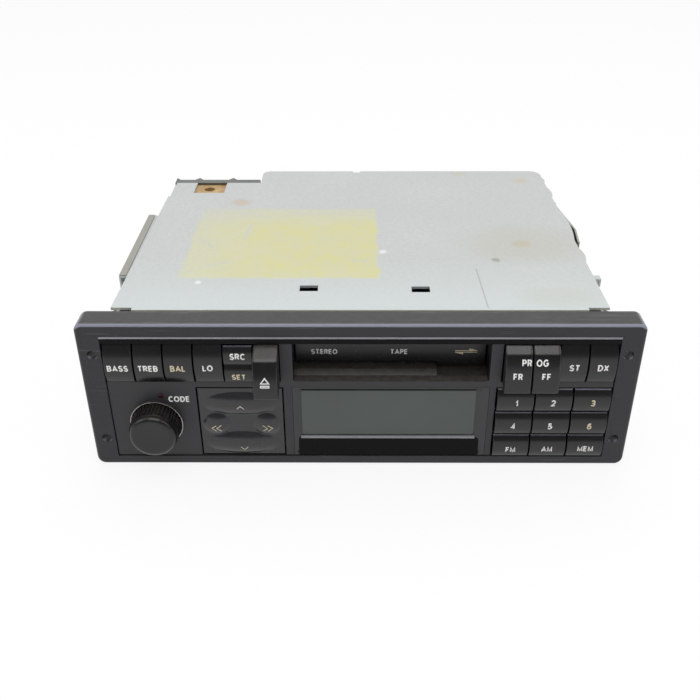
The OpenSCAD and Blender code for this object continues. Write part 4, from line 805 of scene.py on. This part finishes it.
# Strokes of plain grotesque capitals and numerals, one unit tall
LETTERS = {
    "A": [[(0, 0), (0.42, 1), (0.84, 0)], [(0.15, 0.33), (0.69, 0.33)]],
    "B": [[(0, 0), (0, 1), (0.36, 1)] + bow(0.36, 0.765, 0.25, 0.235, 80, -90) + [(0, 0.53)],
          [(0, 0.53), (0.38, 0.53)] + bow(0.38, 0.265, 0.28, 0.265, 80, -90) + [(0, 0), (0, 0.53)]],
    "C": [bow(0.42, 0.5, 0.42, 0.5, 48, 312, 16)],
    "D": [[(0, 0), (0, 1), (0.32, 1)] + bow(0.32, 0.5, 0.42, 0.5, 80, -80) + [(0.32, 0), (0, 0)]],
    "E": [[(0.58, 1), (0, 1), (0, 0), (0.58, 0)], [(0, 0.52), (0.52, 0.52)]],
    "F": [[(0.56, 1), (0, 1), (0, 0)], [(0, 0.52), (0.48, 0.52)]],
    "G": [bow(0.44, 0.5, 0.44, 0.5, 45, 330, 16) + [(0.85, 0.46), (0.5, 0.46)]],
    "L": [[(0, 1), (0, 0), (0.52, 0)]],
    "M": [[(0, 0), (0, 1), (0.42, 0.05), (0.84, 1), (0.84, 0)]],
    "O": [bow(0.46, 0.5, 0.46, 0.5, 0, 360, 20)],
    "P": [[(0, 0), (0, 1), (0.36, 1)] + bow(0.36, 0.735, 0.27, 0.265, 80, -90) + [(0, 0.47)]],
    "R": [[(0, 0), (0, 1), (0.36, 1)] + bow(0.36, 0.745, 0.26, 0.255, 80, -90) + [(0, 0.49)],
          [(0.36, 0.49), (0.66, 0)]],
    "S": [bow(0.32, 0.755, 0.29, 0.245, 25, 270, 10)[:-1] + bow(0.32, 0.255, 0.32, 0.255, 90, -160, 10)],
    "T": [[(0, 1), (0.72, 1)], [(0.36, 1), (0.36, 0)]],
    "X": [[(0, 0), (0.7, 1)], [(0, 1), (0.7, 0)]],
    "1": [[(0, 0.74), (0.14, 0.82), (0.25, 1), (0.25, 0)]],
    "2": [bow(0.31, 0.7, 0.3, 0.3, 165, -35, 10) + [(0, 0), (0.63, 0)]],
    "3": [bow(0.3, 0.755, 0.27, 0.245, 155, -90, 10)[:-1] + bow(0.3, 0.255, 0.31, 0.255, 90, -155, 10)],
    "4": [[(0.47, 0), (0.47, 1), (0, 0.28), (0.66, 0.28)]],
    "5": [[(0.56, 1), (0.11, 1), (0.05, 0.52)] + bow(0.29, 0.32, 0.32, 0.32, 125, -155, 12)],
    "6": [bow(0.4, 0.32, 0.4, 0.68, 62, 180, 8) + bow(0.31, 0.32, 0.31, 0.32, 190, 540, 16)],
}


def ribbon(points, width):
    """Left and right side of a stroke with mitred bends; closed when the ends meet."""
    closed = math.dist(points[0], points[-1]) < 1e-6
    line = [Vector(p) for p in (points[:-1] if closed else points)]
    count = len(line)
    pairs = []
    for i, here in enumerate(line):
        ways = []
        if closed or i:
            ways.append((here - line[i - 1]).normalized())
        if closed or i < count - 1:
            ways.append((line[(i + 1) % count] - here).normalized())
        sides = [Vector((-w.y, w.x)) for w in ways]
        middle = sum(sides, Vector((0, 0)))
        middle = middle.normalized() if middle.length > 1e-6 else sides[0]
        reach = width / 2 / max(middle.dot(sides[0]), 0.55)
        pairs.append((here + middle * reach, here - middle * reach))
    return pairs, closed


def drawn(strokes):
    """A flat shape of strokes, each given as (points, width) in mm and closed by itself."""
    shape = bmesh.new()
    for i, (points, width) in enumerate(strokes):
        thick = PRINT * (1 + STROKE_RISE * i)
        pairs, closed = ribbon(points, width)
        rings = [[shape.verts.new((p.x * MM, p.y * MM, h)) for p, h in (
            (left, thick), (right, thick), (right, -PRINT), (left, -PRINT))] for left, right in pairs]
        loft(shape, rings, closed)
    return shape


def word(name, text, node, x, z, height, ink):
    """A printed word in plain capitals; height and place of its middle in mm."""
    unit = height * SPREAD / (1 + WEIGHT)
    gap = WEIGHT + LETTER_GAP
    pen = 0.0
    strokes = []
    for letter in text:
        strokes += [[((pen + px) * NARROW, py) for px, py in points] for points in LETTERS[letter]]
        pen += max(px for points in LETTERS[letter] for px, _ in points) + gap / NARROW
    wide = pen * NARROW - gap
    placed = [([((px - wide / 2) * unit, (py - 0.5) * unit) for px, py in points], WEIGHT * unit)
              for points in strokes]
    lay_print(name, drawn(placed), node, x, z, ink)


def sign(name, outlines, node, x, z, ink):
    """A printed sign made of closed outlines given in mm."""
    shape = bmesh.new()
    for i, outline in enumerate(outlines):
        thick = PRINT * (1 + STROKE_RISE * i)
        loft(shape, [[shape.verts.new((px * MM, py * MM, h)) for px, py in outline] for h in (-PRINT, thick)])
    lay_print(name, shape, node, x, z, ink)


def stroke(start, end, width):
    """The outline of a straight stroke."""
    a, b = Vector(start), Vector(end)
    side = (b - a).normalized().orthogonal() * width / 2
    return [tuple(a + side), tuple(b + side), tuple(b - side), tuple(a - side)]


def chevron(wide, tall, width, turn):
    """Two strokes meeting in a point; turn is 0 for up, 1 left, 2 down and 3 right."""
    spin = Matrix.Rotation(turn * math.pi / 2, 2)
    tip, left, right = (spin @ Vector(p) for p in (
        (0, tall / 2), (-wide / 2, -tall / 2), (wide / 2, -tall / 2)))
    return [stroke(left, tip, width), stroke(tip, right, width)]


# Geometry Nodes


def start_tree(name, inputs):
    """An empty geometry tree with named inputs of geometry, finish and the given kinds, and their sockets."""
    tree = bpy.data.node_groups.new(name, "GeometryNodeTree")
    for label, kind in {"Geometry": "Geometry", **inputs, "Material": "Material"}.items():
        tree.interface.new_socket(label, in_out="INPUT", socket_type="NodeSocket" + kind)
    tree.interface.new_socket("Geometry", in_out="OUTPUT", socket_type="NodeSocketGeometry")
    return tree, add(tree, "NodeGroupInput").outputs


def end_tree(tree, instances, material):
    """Makes instances real, gives them their finish and ends the tree."""
    real = add(tree, "GeometryNodeRealizeInstances", {"Geometry": instances})
    done = add(tree, "GeometryNodeSetMaterial", {"Geometry": real, "Material": material})
    add(tree, "NodeGroupOutput", {"Geometry": done})
    return tree


def run_tree(tree, mesh, values, name, material):
    """Runs a geometry tree on a mesh and keeps the result as a plain mesh."""
    piece = put(name, mesh, material)
    modifier = piece.modifiers.new("Repeat", "NODES")
    modifier.node_group = tree
    values = {**values, "Material": material}
    for item in tree.interface.items_tree:
        if item.in_out == "INPUT" and item.name in values:
            modifier[item.identifier] = values[item.name]
    return flatten(piece)


def rib_tree():
    """Round ribs in a ring about Z, standing on Z = 0."""
    tree, given = start_tree("Ribs in a ring", {
        "Count": "Int", "Ring Radius": "Float", "Rib Radius": "Float", "Length": "Float"})
    ring = add(tree, "GeometryNodeMeshCircle", {"Vertices": given["Count"], "Radius": given["Ring Radius"]})
    rib = add(tree, "GeometryNodeMeshCylinder", {"Vertices": 10, "Radius": given["Rib Radius"],
                                                 "Depth": given["Length"]})
    half = add(tree, MATH, (given["Length"], 0.5), operation="MULTIPLY")
    lift = add(tree, "ShaderNodeCombineXYZ", {"Z": half})
    raised = add(tree, "GeometryNodeTransform", {"Geometry": rib, "Translation": lift})
    spread = add(tree, "GeometryNodeInstanceOnPoints", {"Points": ring, "Instance": raised})
    return end_tree(tree, spread, given["Material"])


def screw_tree():
    """Cross-recessed pan-head screws on the points of a mesh; the head faces Z before it is turned."""
    tree, given = start_tree("Pan-head screws", {
        "Head Radius": "Float", "Head Height": "Float", "Shank Radius": "Float", "Shank Length": "Float",
        "Turn": "Rotation"})
    crown, bar_long, bar_wide, rise, sink = (
        add(tree, MATH, (given[size], share), operation="MULTIPLY") for size, share in (
            ("Head Radius", 0.72), ("Head Radius", 1.1), ("Head Radius", 0.22), ("Head Height", 1.35),
            ("Shank Length", -0.5)))
    head = add(tree, "GeometryNodeMeshCone", {"Vertices": 32, "Radius Top": crown,
                                              "Radius Bottom": given["Head Radius"],
                                              "Depth": given["Head Height"]})
    above = add(tree, "ShaderNodeCombineXYZ", {"Z": rise})
    bars = []
    for first, second in ((bar_long, bar_wide), (bar_wide, bar_long)):
        size = add(tree, "ShaderNodeCombineXYZ", (first, second, given["Head Height"]))
        bar = add(tree, "GeometryNodeMeshCube", {"Size": size})
        bars.append(add(tree, "GeometryNodeTransform", {"Geometry": bar, "Translation": above}))
    cut = add(tree, "GeometryNodeMeshBoolean", (head, bars), operation="DIFFERENCE")
    shank = add(tree, "GeometryNodeMeshCylinder", {"Vertices": 24, "Radius": given["Shank Radius"],
                                                   "Depth": given["Shank Length"]})
    below = add(tree, "ShaderNodeCombineXYZ", {"Z": sink})
    stem = add(tree, "GeometryNodeTransform", {"Geometry": shank, "Translation": below})
    whole = add(tree, "GeometryNodeJoinGeometry", {"Geometry": [cut, stem]})
    points = add(tree, "GeometryNodeMeshToPoints", {"Mesh": given["Geometry"]})
    spread = add(tree, "GeometryNodeInstanceOnPoints", {"Points": points, "Instance": whole,
                                                        "Rotation": given["Turn"]})
    return end_tree(tree, spread, given["Material"])


# Operators

PLAIN_KEYS = ("bass_key", "treble_key", "balance_key", "local_key", "station_key", "network_key",
              *("preset_key_" + str(i) for i in range(1, 7)), "band_key", "traffic_key", "store_key")
PROUD_KEYS = ("eject_key", "rewind_key", "forward_key")
# Grid steps of the drawn fronts, in mm
PROUD_STEP = 0.5
PAD_STEP = 0.22
PAD_EDGE = 0.2
# Edge roundings in mm, and their segments, of the display, the slot and what shows at the back
EDGES = {
    "display_bezel": (0.25, 3), "lcd_module": (0.1, 2), "code_lamp": (0.25, 3), "slot_throat": (0.15, 2),
    "slot_flap": (0.15, 2), "heat_sink": (0.2, 2), "amp_board": (0.2, 2), "rear_sockets": (0.2, 2),
    "antenna_socket": (0.3, 3), "rear_stud": (0.3, 3),
}


def soften_all(*names):
    """Gives nodes the edges that the table holds for them."""
    for node in names:
        width, segments = EDGES[node]
        soften(node, width * MM, segments)


class RADIO_OT_finishes(bpy.types.Operator):
    """Makes every finish of the radio"""

    bl_idname = "radio.finishes"
    bl_label = "Finishes"

    def execute(self, context):
        make_finishes()
        return {"FINISHED"}


# Trim, in mm: radius of its outer corners, places of the removal holes, wall of the half tubes behind them
TRIM_CORNER = 3.0
HOLES = [(x, z) for x in (-89, 89) for z in (46.2, 11.8)]
GUIDE_WALL = ((2.1, 2), (2.6, 2), (2.6, 6.3), (2.1, 6.3))


def removal_guides():
    """Half tubes behind the four holes, which lead the removal keys along the outer side."""
    shape = bmesh.new()
    for x, z in HOLES:
        walls = [[at(px, y, pz) for px, pz in bow(x, z, -math.copysign(r, x), r, 110, 310, 12)]
                 for r, y in GUIDE_WALL]
        loft(shape, [[shape.verts.new(point) for point in section] for section in zip(*walls)])
    piece = put("removal_guides", keep(shape, "removal_guides"), finishes["trim_plastic"])
    smooth(piece.data)
    attach(piece, "trim_frame")


class RADIO_OT_front(bpy.types.Operator):
    """Trim frame, front panel and carrier with moulded edges"""

    bl_idname = "radio.front"
    bl_label = "Trim and panel"

    def execute(self, context):
        soften("trim_frame", sizes().panel_edge, rim=sizes().trim_edge / MM, corner=TRIM_CORNER)
        soften("front_panel", sizes().panel_edge)
        soften("front_carrier", sizes().sheet_edge)
        # A pale plate of painted highlight along the opening's top edge
        plate("panel_lip")
        # A black plate of painted shade below the lip
        plate("panel_gap")
        removal_guides()
        return {"FINISHED"}


class RADIO_OT_keys(bpy.types.Operator):
    """Every key and the rocker"""

    bl_idname = "radio.keys"
    bl_label = "Keys"

    def execute(self, context):
        for node in PLAIN_KEYS:
            soften(node, sizes().key_edge, 3, material=finishes["row_key_plastic"])
        for node in PROUD_KEYS:
            regrid(node, proud_front(node), sizes().proud_edge / MM, PROUD_STEP)
        soften("source_rocker", sizes().key_edge, 3, material=finishes["row_key_plastic"])
        return {"FINISHED"}


# Four-way pad, in mm from its middle: the long bumps are cut from a ring of round section, the round ones
# from balls, each sunk behind the pad's face
LONG_BUMPS = (7.8, -8.9)
SECTION_RADIUS = 8.0
RING_RADIUS = 46.0
RING_SINK = 52.4
ROUND_BUMPS = (-8.75, 8.75)
ROUND_DROP = 0.9
BALL_RADIUS = 8.9
BALL_SINK = 7.5
BUMP_BLEND = 0.12


class RADIO_OT_pad(bpy.types.Operator):
    """Four-way pad with its two long bumps and two round ones"""

    bl_idname = "radio.pad"
    bl_label = "Four-way pad"

    def execute(self, context):
        low, high = box_mm("nav_pad")
        middle = (low + high) / 2

        def front_of(x, z):
            across, up = x - middle.x, z - middle.z
            bumps = []
            for lift in LONG_BUMPS:
                section = SECTION_RADIUS ** 2 - (up - lift) ** 2
                if section > 0:
                    bumps.append(math.sqrt((RING_RADIUS + math.sqrt(section)) ** 2 - across ** 2) - RING_SINK)
            for side in ROUND_BUMPS:
                ball = BALL_RADIUS ** 2 - (across - side) ** 2 - (up + ROUND_DROP) ** 2
                if ball > 0:
                    bumps.append(math.sqrt(ball) - BALL_SINK)
            rise = 0.0
            for bump in bumps:
                rise = blended(rise, bump, BUMP_BLEND)
            return FACE - rise

        regrid("nav_pad", front_of, PAD_EDGE, PAD_STEP)
        return {"FINISHED"}


# Knob, in mm: its cap's edge as distances in from the side and back from the front, and the pale lip round
# it, a painted highlight on the rim's edge, as distances out from the knob and back from the panel's face
KNOB_EDGE = ((0, 1.5), (0.1, 0.95), (0.38, 0.5), (0.8, 0.2), (1.35, 0.03), (1.9, 0), (2.6, 0.05), (4.5, 0.14))
KNOB_DISH = 0.2
KNOB_STEP = 2.4
KNOB_BORE = 3.05
BORE_END = 4.5
CORE_INSET = 0.45
CAP_INSET = 0.55
RIB_INSET = 0.34
RIB_FROM_STEP = 0.2
RIB_FROM_BASE = 0.4
COLLAR = ((0.35, 0.3), (0.35, -0.08), (0.65, -0.12), (0.75, 0.3), (0.35, 0.3))


class RADIO_OT_knob(bpy.types.Operator):
    """Volume knob: a turned cap with ribs round its skirt"""

    bl_idname = "radio.knob"
    bl_label = "Volume knob"

    def execute(self, context):
        plastic = finishes["knob_plastic"]
        low, high = box_mm("volume_knob")
        x, _, z = (low + high) / 2
        radius = (high.x - low.x) / 2
        front, base = low.y, high.y
        core, cap = radius - CORE_INSET, radius - CAP_INSET
        step, end = front + KNOB_STEP, front + BORE_END
        profile = [(0, end), (KNOB_BORE, end), (KNOB_BORE, base), (core - 0.3, base), (core, base - 0.3),
                   (core, step + 0.15), (cap, step)]
        profile += [(cap - inset, front + back) for inset, back in KNOB_EDGE]
        turned = lathe("volume_knob_cap", profile + [(0, front + KNOB_DISH)], x, z, plastic)
        foot = step + RIB_FROM_STEP
        ribs = run_tree(rib_tree(), bpy.data.meshes.new("ribs"), {
            "Count": sizes().rib_count, "Ring Radius": (radius - RIB_INSET) * MM,
            "Rib Radius": sizes().rib_radius, "Length": (base - RIB_FROM_BASE - foot) * MM,
        }, "volume_knob_ribs", plastic)
        ribs.data.transform(Matrix.Translation(at(x, foot, z)) @ Matrix.Rotation(-math.pi / 2, 4, "X"))
        smooth(ribs.data, TURNED_ANGLE)
        stand_for("volume_knob", turned)
        attach(ribs, "volume_knob")
        # The pale lip is a painted highlight, drawn in the white print finish
        lip = [(radius + out, FACE + back) for out, back in COLLAR]
        attach(lathe("volume_collar", lip, x, z, finishes["ink"]), "front_panel")
        return {"FINISHED"}


class RADIO_OT_display(bpy.types.Operator):
    """Display surround, display and lamp"""

    bl_idname = "radio.display"
    bl_label = "Display"

    def execute(self, context):
        soften_all("display_bezel")
        for name in ("display_window", "display_ledge", "display_strip"):
            plate(name)
        soften_all("lcd_module", "code_lamp")
        return {"FINISHED"}


class RADIO_OT_slot(bpy.types.Operator):
    """Cassette slot with its flap"""

    bl_idname = "radio.slot"
    bl_label = "Cassette slot"

    def execute(self, context):
        soften_all("slot_throat", "slot_flap")
        return {"FINISHED"}


# Words: text, node, the place of its middle and its height in mm; and those whose ink has yellowed
WORDS = (
    ("BASS", "bass_key", -81.0, 41.6, 2.0), ("TREB", "treble_key", -70.9, 41.6, 2.0),
    ("BAL", "balance_key", -60.8, 41.6, 2.0), ("LO", "local_key", -50.8, 41.8, 2.0),
    ("SRC", "source_rocker", -40.6, 46.3, 2.0), ("SET", "source_rocker", -40.6, 38.2, 1.9),
    ("FR", "rewind_key", 52.3, 40.7, 2.0), ("FF", "forward_key", 61.7, 40.7, 2.0),
    ("PR", "rewind_key", 55.0, 45.4, 2.0), ("OG", "forward_key", 60.1, 45.4, 2.0),
    ("ST", "station_key", 71.5, 42.0, 2.1), ("DX", "network_key", 81.0, 42.0, 2.1),
    ("1", "preset_key_1", 53.6, 27.6, 2.2), ("2", "preset_key_2", 66.1, 27.7, 2.2),
    ("3", "preset_key_3", 79.6, 27.7, 2.2), ("4", "preset_key_4", 53.3, 17.9, 2.2),
    ("5", "preset_key_5", 66.0, 17.9, 2.2), ("6", "preset_key_6", 79.6, 17.9, 2.2),
    ("FM", "band_key", 53.2, 7.7, 2.0), ("AM", "traffic_key", 66.0, 7.9, 2.0),
    ("MEM", "store_key", 79.5, 8.1, 2.0), ("CODE", "front_panel", -62.0, 28.2, 2.0),
    ("STEREO", "slot_flap", -12.2, 41.5, 1.7), ("TAPE", "slot_flap", 13.5, 41.5, 1.7),
)
YELLOWED = ("BAL", "SET", "3", "6")
# Arrows on the pad: name, turn, width, height and place in mm; and the width of their strokes
ARROWS = (
    ("up", 0, 2.4, 1.3, -41.0, 25.6), ("down", 2, 2.4, 1.3, -40.6, 8.0),
    ("left_0", 1, 2.6, 1.7, -50.75, 16.6), ("left_1", 1, 2.6, 1.7, -49.05, 16.6),
    ("right_0", 3, 2.6, 1.7, -32.85, 16.6), ("right_1", 3, 2.6, 1.7, -31.15, 16.6),
)
ARROW_LINE = 0.28
# The eject sign's triangle and bar with their widths of line, and the outlines of the two-way arrow, in mm
EJECT = (
    ([(-1.35, 0.35), (1.35, 0.35), (0, 2.1), (-1.35, 0.35)], 0.42),
    ([(-1.35, -1.05), (1.35, -1.05), (1.35, -0.45), (-1.35, -0.45), (-1.35, -1.05)], 0.36),
)
BOTH_WAYS = (
    stroke((-3.8, 0.3), (3.8, 0.3), 0.3), [(3.8, 0.45), (1.0, 0.45), (1.0, 1.2)],
    stroke((-3.8, -0.3), (3.8, -0.3), 0.3), [(-3.8, -0.45), (-1.0, -1.2), (-1.0, -0.45)],
)


class RADIO_OT_labels(bpy.types.Operator):
    """Printed words, numbers and signs"""

    bl_idname = "radio.labels"
    bl_label = "Labels"

    def execute(self, context):
        white, aged = finishes["ink"], finishes["aged_ink"]
        for text, node, x, z, height in WORDS:
            ink = aged if text in YELLOWED else white
            word("label_" + text.lower() + "_" + node, text, node, x, z, height, ink)
        for name, turn, wide, tall, x, z in ARROWS:
            sign("sign_" + name, chevron(wide, tall, ARROW_LINE, turn), "nav_pad", x, z, aged)
        lay_print("sign_eject", drawn(EJECT), "eject_key", -31.2, 40.0, white)
        sign("sign_both_ways", BOTH_WAYS, "slot_flap", 36.6, 41.6, aged)
        return {"FINISHED"}


class RADIO_OT_case(bpy.types.Operator):
    """Galvanised case, latches, heat sink and what shows at the back"""

    bl_idname = "radio.case"
    bl_label = "Case"

    def execute(self, context):
        for node in ("chassis_shell", "top_cover", "bottom_cover", "left_latch", "right_latch"):
            soften(node, sizes().sheet_edge)
        plate("rail_strip")
        soften_all("heat_sink", "amp_board", "rear_sockets", "antenna_socket", "rear_stud")
        return {"FINISHED"}


# Screws, in mm: their sizes, the span of those under the case, the heights of those in the heat sink, and
# the gap between the heat sink and the case's step
HEAD_RADIUS = 2.8
HEAD_HEIGHT = 1.7
SHANK_RADIUS = 1.5
UNDER_LENGTH = 8.0
SINK_LENGTH = 8.5
UNDER_SPAN = 98.7
SINK_HEIGHTS = (15, 43)
STEP_GAP = 0.6


class RADIO_OT_screws(bpy.types.Operator):
    """Pan-head screws under the case and in the heat sink"""

    bl_idname = "radio.screws"
    bl_label = "Screws"

    def execute(self, context):
        low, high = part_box("case_screws")
        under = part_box("bottom_cover")[0].z
        sink_low, sink_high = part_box("heat_sink")
        head, tall = HEAD_RADIUS * MM, HEAD_HEIGHT * MM
        front = low.y + head
        middle = (sink_low.x + sink_high.x + STEP_GAP * MM) / 2
        below = [(x, y, under) for x in (low.x + head, high.x - head)
                 for y in (front, front + UNDER_SPAN * MM)]
        behind = [(middle, high.y - tall, z * MM) for z in SINK_HEIGHTS]
        tree = screw_tree()
        for name, places, turn, length in (
            ("case_screws_under", below, Euler((math.pi, 0, 0)), UNDER_LENGTH),
            ("case_screws_sink", behind, Euler((-math.pi / 2, 0, 0)), SINK_LENGTH),
        ):
            mesh = bpy.data.meshes.new(name)
            mesh.from_pydata(places, [], [])
            piece = run_tree(tree, mesh, {
                "Head Radius": head, "Head Height": tall, "Shank Radius": SHANK_RADIUS * MM,
                "Shank Length": length * MM, "Turn": turn}, name, finishes["plated_metal"])
            smooth(piece.data)
            stand_for("case_screws", piece)
        return {"FINISHED"}


class RADIO_OT_inside(bpy.types.Operator):
    """Finishes for the nodes that keep their own shape: the deck, the boards and what else lies inside"""

    bl_idname = "radio.inside"
    bl_label = "Inside"

    def execute(self, context):
        for node in [name for name in nodes if name not in dressed]:
            materials = nodes[node].data.materials
            materials.clear()
            materials.append(finishes[slot_of[node]])
        return {"FINISHED"}


# Camera: place in mm from the trim's front and lower edge, turn in degrees, lens and sensor in mm
CAMERA_PLACE = (-0.87, -250.64, 203.94)
CAMERA_TURN = (58.166, 0.2075, 0.413)
CAMERA_LENS = 45.9
CAMERA_SENSOR = 36.0
# Soft lamps: place and width in metres, power in watts; all point at the radio
LAMPS = (
    ("Softbox above", (0.0, 0.3, 1.2), 1.2, 5.2),
    ("Softbox front", (0.0, -0.6, 1.1), 0.8, 5.2),
    ("Softbox left", (-1.0, -0.3, 0.7), 0.7, 3.0),
    ("Softbox right", (1.0, -0.3, 0.7), 0.7, 3.0),
)
LAMP_AIM = Vector((0, 0, 0.02))
# The room's light, and its white parts: axis, where along it the white starts and is full, how bright it is
ROOM_LIGHT = 0.2
WHITE_PARTS = (("Z", 0.09, 0.0, 0.35), ("Y", -0.15, 0.5, 1.0), ("Z", 0.85, 0.98, 0.45))
# Floor: half its width in metres, where towards the camera it dims and to what, and how much of its white
# is its own, the rest being light that falls on it and keeps the shadow
FLOOR_HALF = 6.0
FLOOR_DIM = (-1.4, -0.3, 0.2, 1.0)
FLOOR_GREY = 0.86
FLOOR_GLOW = 0.86
WHITE = (1, 1, 1, 1)


def set_camera(scene):
    lens = bpy.data.cameras.new("Camera")
    lens.lens = CAMERA_LENS
    lens.sensor_width = CAMERA_SENSOR
    lens.clip_start = 10 * MM
    camera = bpy.data.objects.new("Camera", lens)
    camera.location = at(*CAMERA_PLACE)
    camera.rotation_euler = [math.radians(a) for a in CAMERA_TURN]
    scene.collection.objects.link(camera)
    scene.camera = camera


def set_lamps(scene):
    for name, place, size, power in LAMPS:
        lamp = bpy.data.lights.new(name, "AREA")
        lamp.energy = power
        lamp.size = size
        holder = bpy.data.objects.new(name, lamp)
        holder.location = place
        holder.rotation_euler = (LAMP_AIM - Vector(place)).to_track_quat("-Z", "Y").to_euler()
        scene.collection.objects.link(holder)


def light_room(scene):
    """White below, behind and overhead, with a dim room on the camera's side."""
    scene.world = bpy.data.worlds.new("Studio")
    scene.world.use_nodes = True
    tree = scene.world.node_tree
    tree.nodes.clear()
    look = add(tree, "ShaderNodeTexCoord").outputs["Generated"]
    apart = add(tree, "ShaderNodeSeparateXYZ", (look,)).outputs
    light = ROOM_LIGHT
    for axis, start, end, bright in WHITE_PARTS:
        part = add(tree, RANGE, (apart[axis], start, end, 0.0, bright),
                   interpolation_type="SMOOTHSTEP")
        light = add(tree, MATH, (light, part), operation="MAXIMUM")
    room = add(tree, "ShaderNodeBackground", {"Color": WHITE, "Strength": light})
    add(tree, "ShaderNodeOutputWorld", {"Surface": room})


def lay_floor():
    """White paper, which the camera, reflections and glass see lit from within."""
    paper, tree, coords = blank("White paper sweep")
    depth = add(tree, "ShaderNodeSeparateXYZ", (coords,)).outputs["Y"]
    fall = add(tree, RANGE, (depth, *FLOOR_DIM), interpolation_type="SMOOTHSTEP")
    matt = add(tree, "ShaderNodeBsdfDiffuse", {"Color": (FLOOR_GREY, FLOOR_GREY, FLOOR_GREY, 1)})
    glow = add(tree, "ShaderNodeEmission", {"Color": WHITE, "Strength": fall})
    path = add(tree, "ShaderNodeLightPath").outputs
    seen = path["Is Camera Ray"]
    for kind in ("Is Glossy Ray", "Is Transmission Ray"):
        seen = add(tree, MATH, (seen, path[kind]), operation="ADD", use_clamp=True)
    share = add(tree, MATH, (seen, FLOOR_GLOW), operation="MULTIPLY")
    both = add(tree, "ShaderNodeMixShader", (share, matt, glow))
    add(tree, "ShaderNodeOutputMaterial", {"Surface": both})
    shape = bmesh.new()
    bmesh.ops.create_grid(shape, x_segments=1, y_segments=1, size=FLOOR_HALF)
    put("floor", keep(shape, "floor", outward=False), paper)


class RADIO_OT_stage(bpy.types.Operator):
    """Camera, lamps, white background and floor"""

    bl_idname = "radio.stage"
    bl_label = "Stage"

    def execute(self, context):
        context.scene.view_settings.view_transform = "Standard"
        set_camera(context.scene)
        set_lamps(context.scene)
        light_room(context.scene)
        lay_floor()
        return {"FINISHED"}


OPERATORS = (RADIO_OT_finishes, RADIO_OT_stage, RADIO_OT_front, RADIO_OT_keys, RADIO_OT_pad, RADIO_OT_knob,
             RADIO_OT_display, RADIO_OT_slot, RADIO_OT_case, RADIO_OT_screws, RADIO_OT_inside,
             RADIO_OT_labels)


class RADIO_PT_panel(bpy.types.Panel):
    """Sizes, colours and steps of the radio"""

    bl_idname = "RADIO_PT_panel"
    bl_label = "Car cassette radio"
    bl_space_type = "VIEW_3D"
    bl_region_type = "UI"
    bl_category = "Radio"

    def draw(self, context):
        for group in (context.scene.radio_sizes, context.scene.radio_colours):
            for name in group.__annotations__:
                self.layout.prop(group, name)
        for operator in OPERATORS:
            self.layout.operator(operator.bl_idname)


CLASSES = (RadioSizes, RadioColours) + OPERATORS + (RADIO_PT_panel,)


def register():
    for item in CLASSES:
        bpy.utils.register_class(item)
    bpy.types.Scene.radio_sizes = PointerProperty(type=RadioSizes)
    bpy.types.Scene.radio_colours = PointerProperty(type=RadioColours)


def unregister():
    del bpy.types.Scene.radio_colours
    del bpy.types.Scene.radio_sizes
    for item in reversed(CLASSES):
        bpy.utils.unregister_class(item)


def main():
    register()
    for operator in OPERATORS:
        group, name = operator.bl_idname.split(".")
        getattr(getattr(bpy.ops, group), name)()
    bpy.context.view_layer.update()


if __name__ == "__main__":
    main()
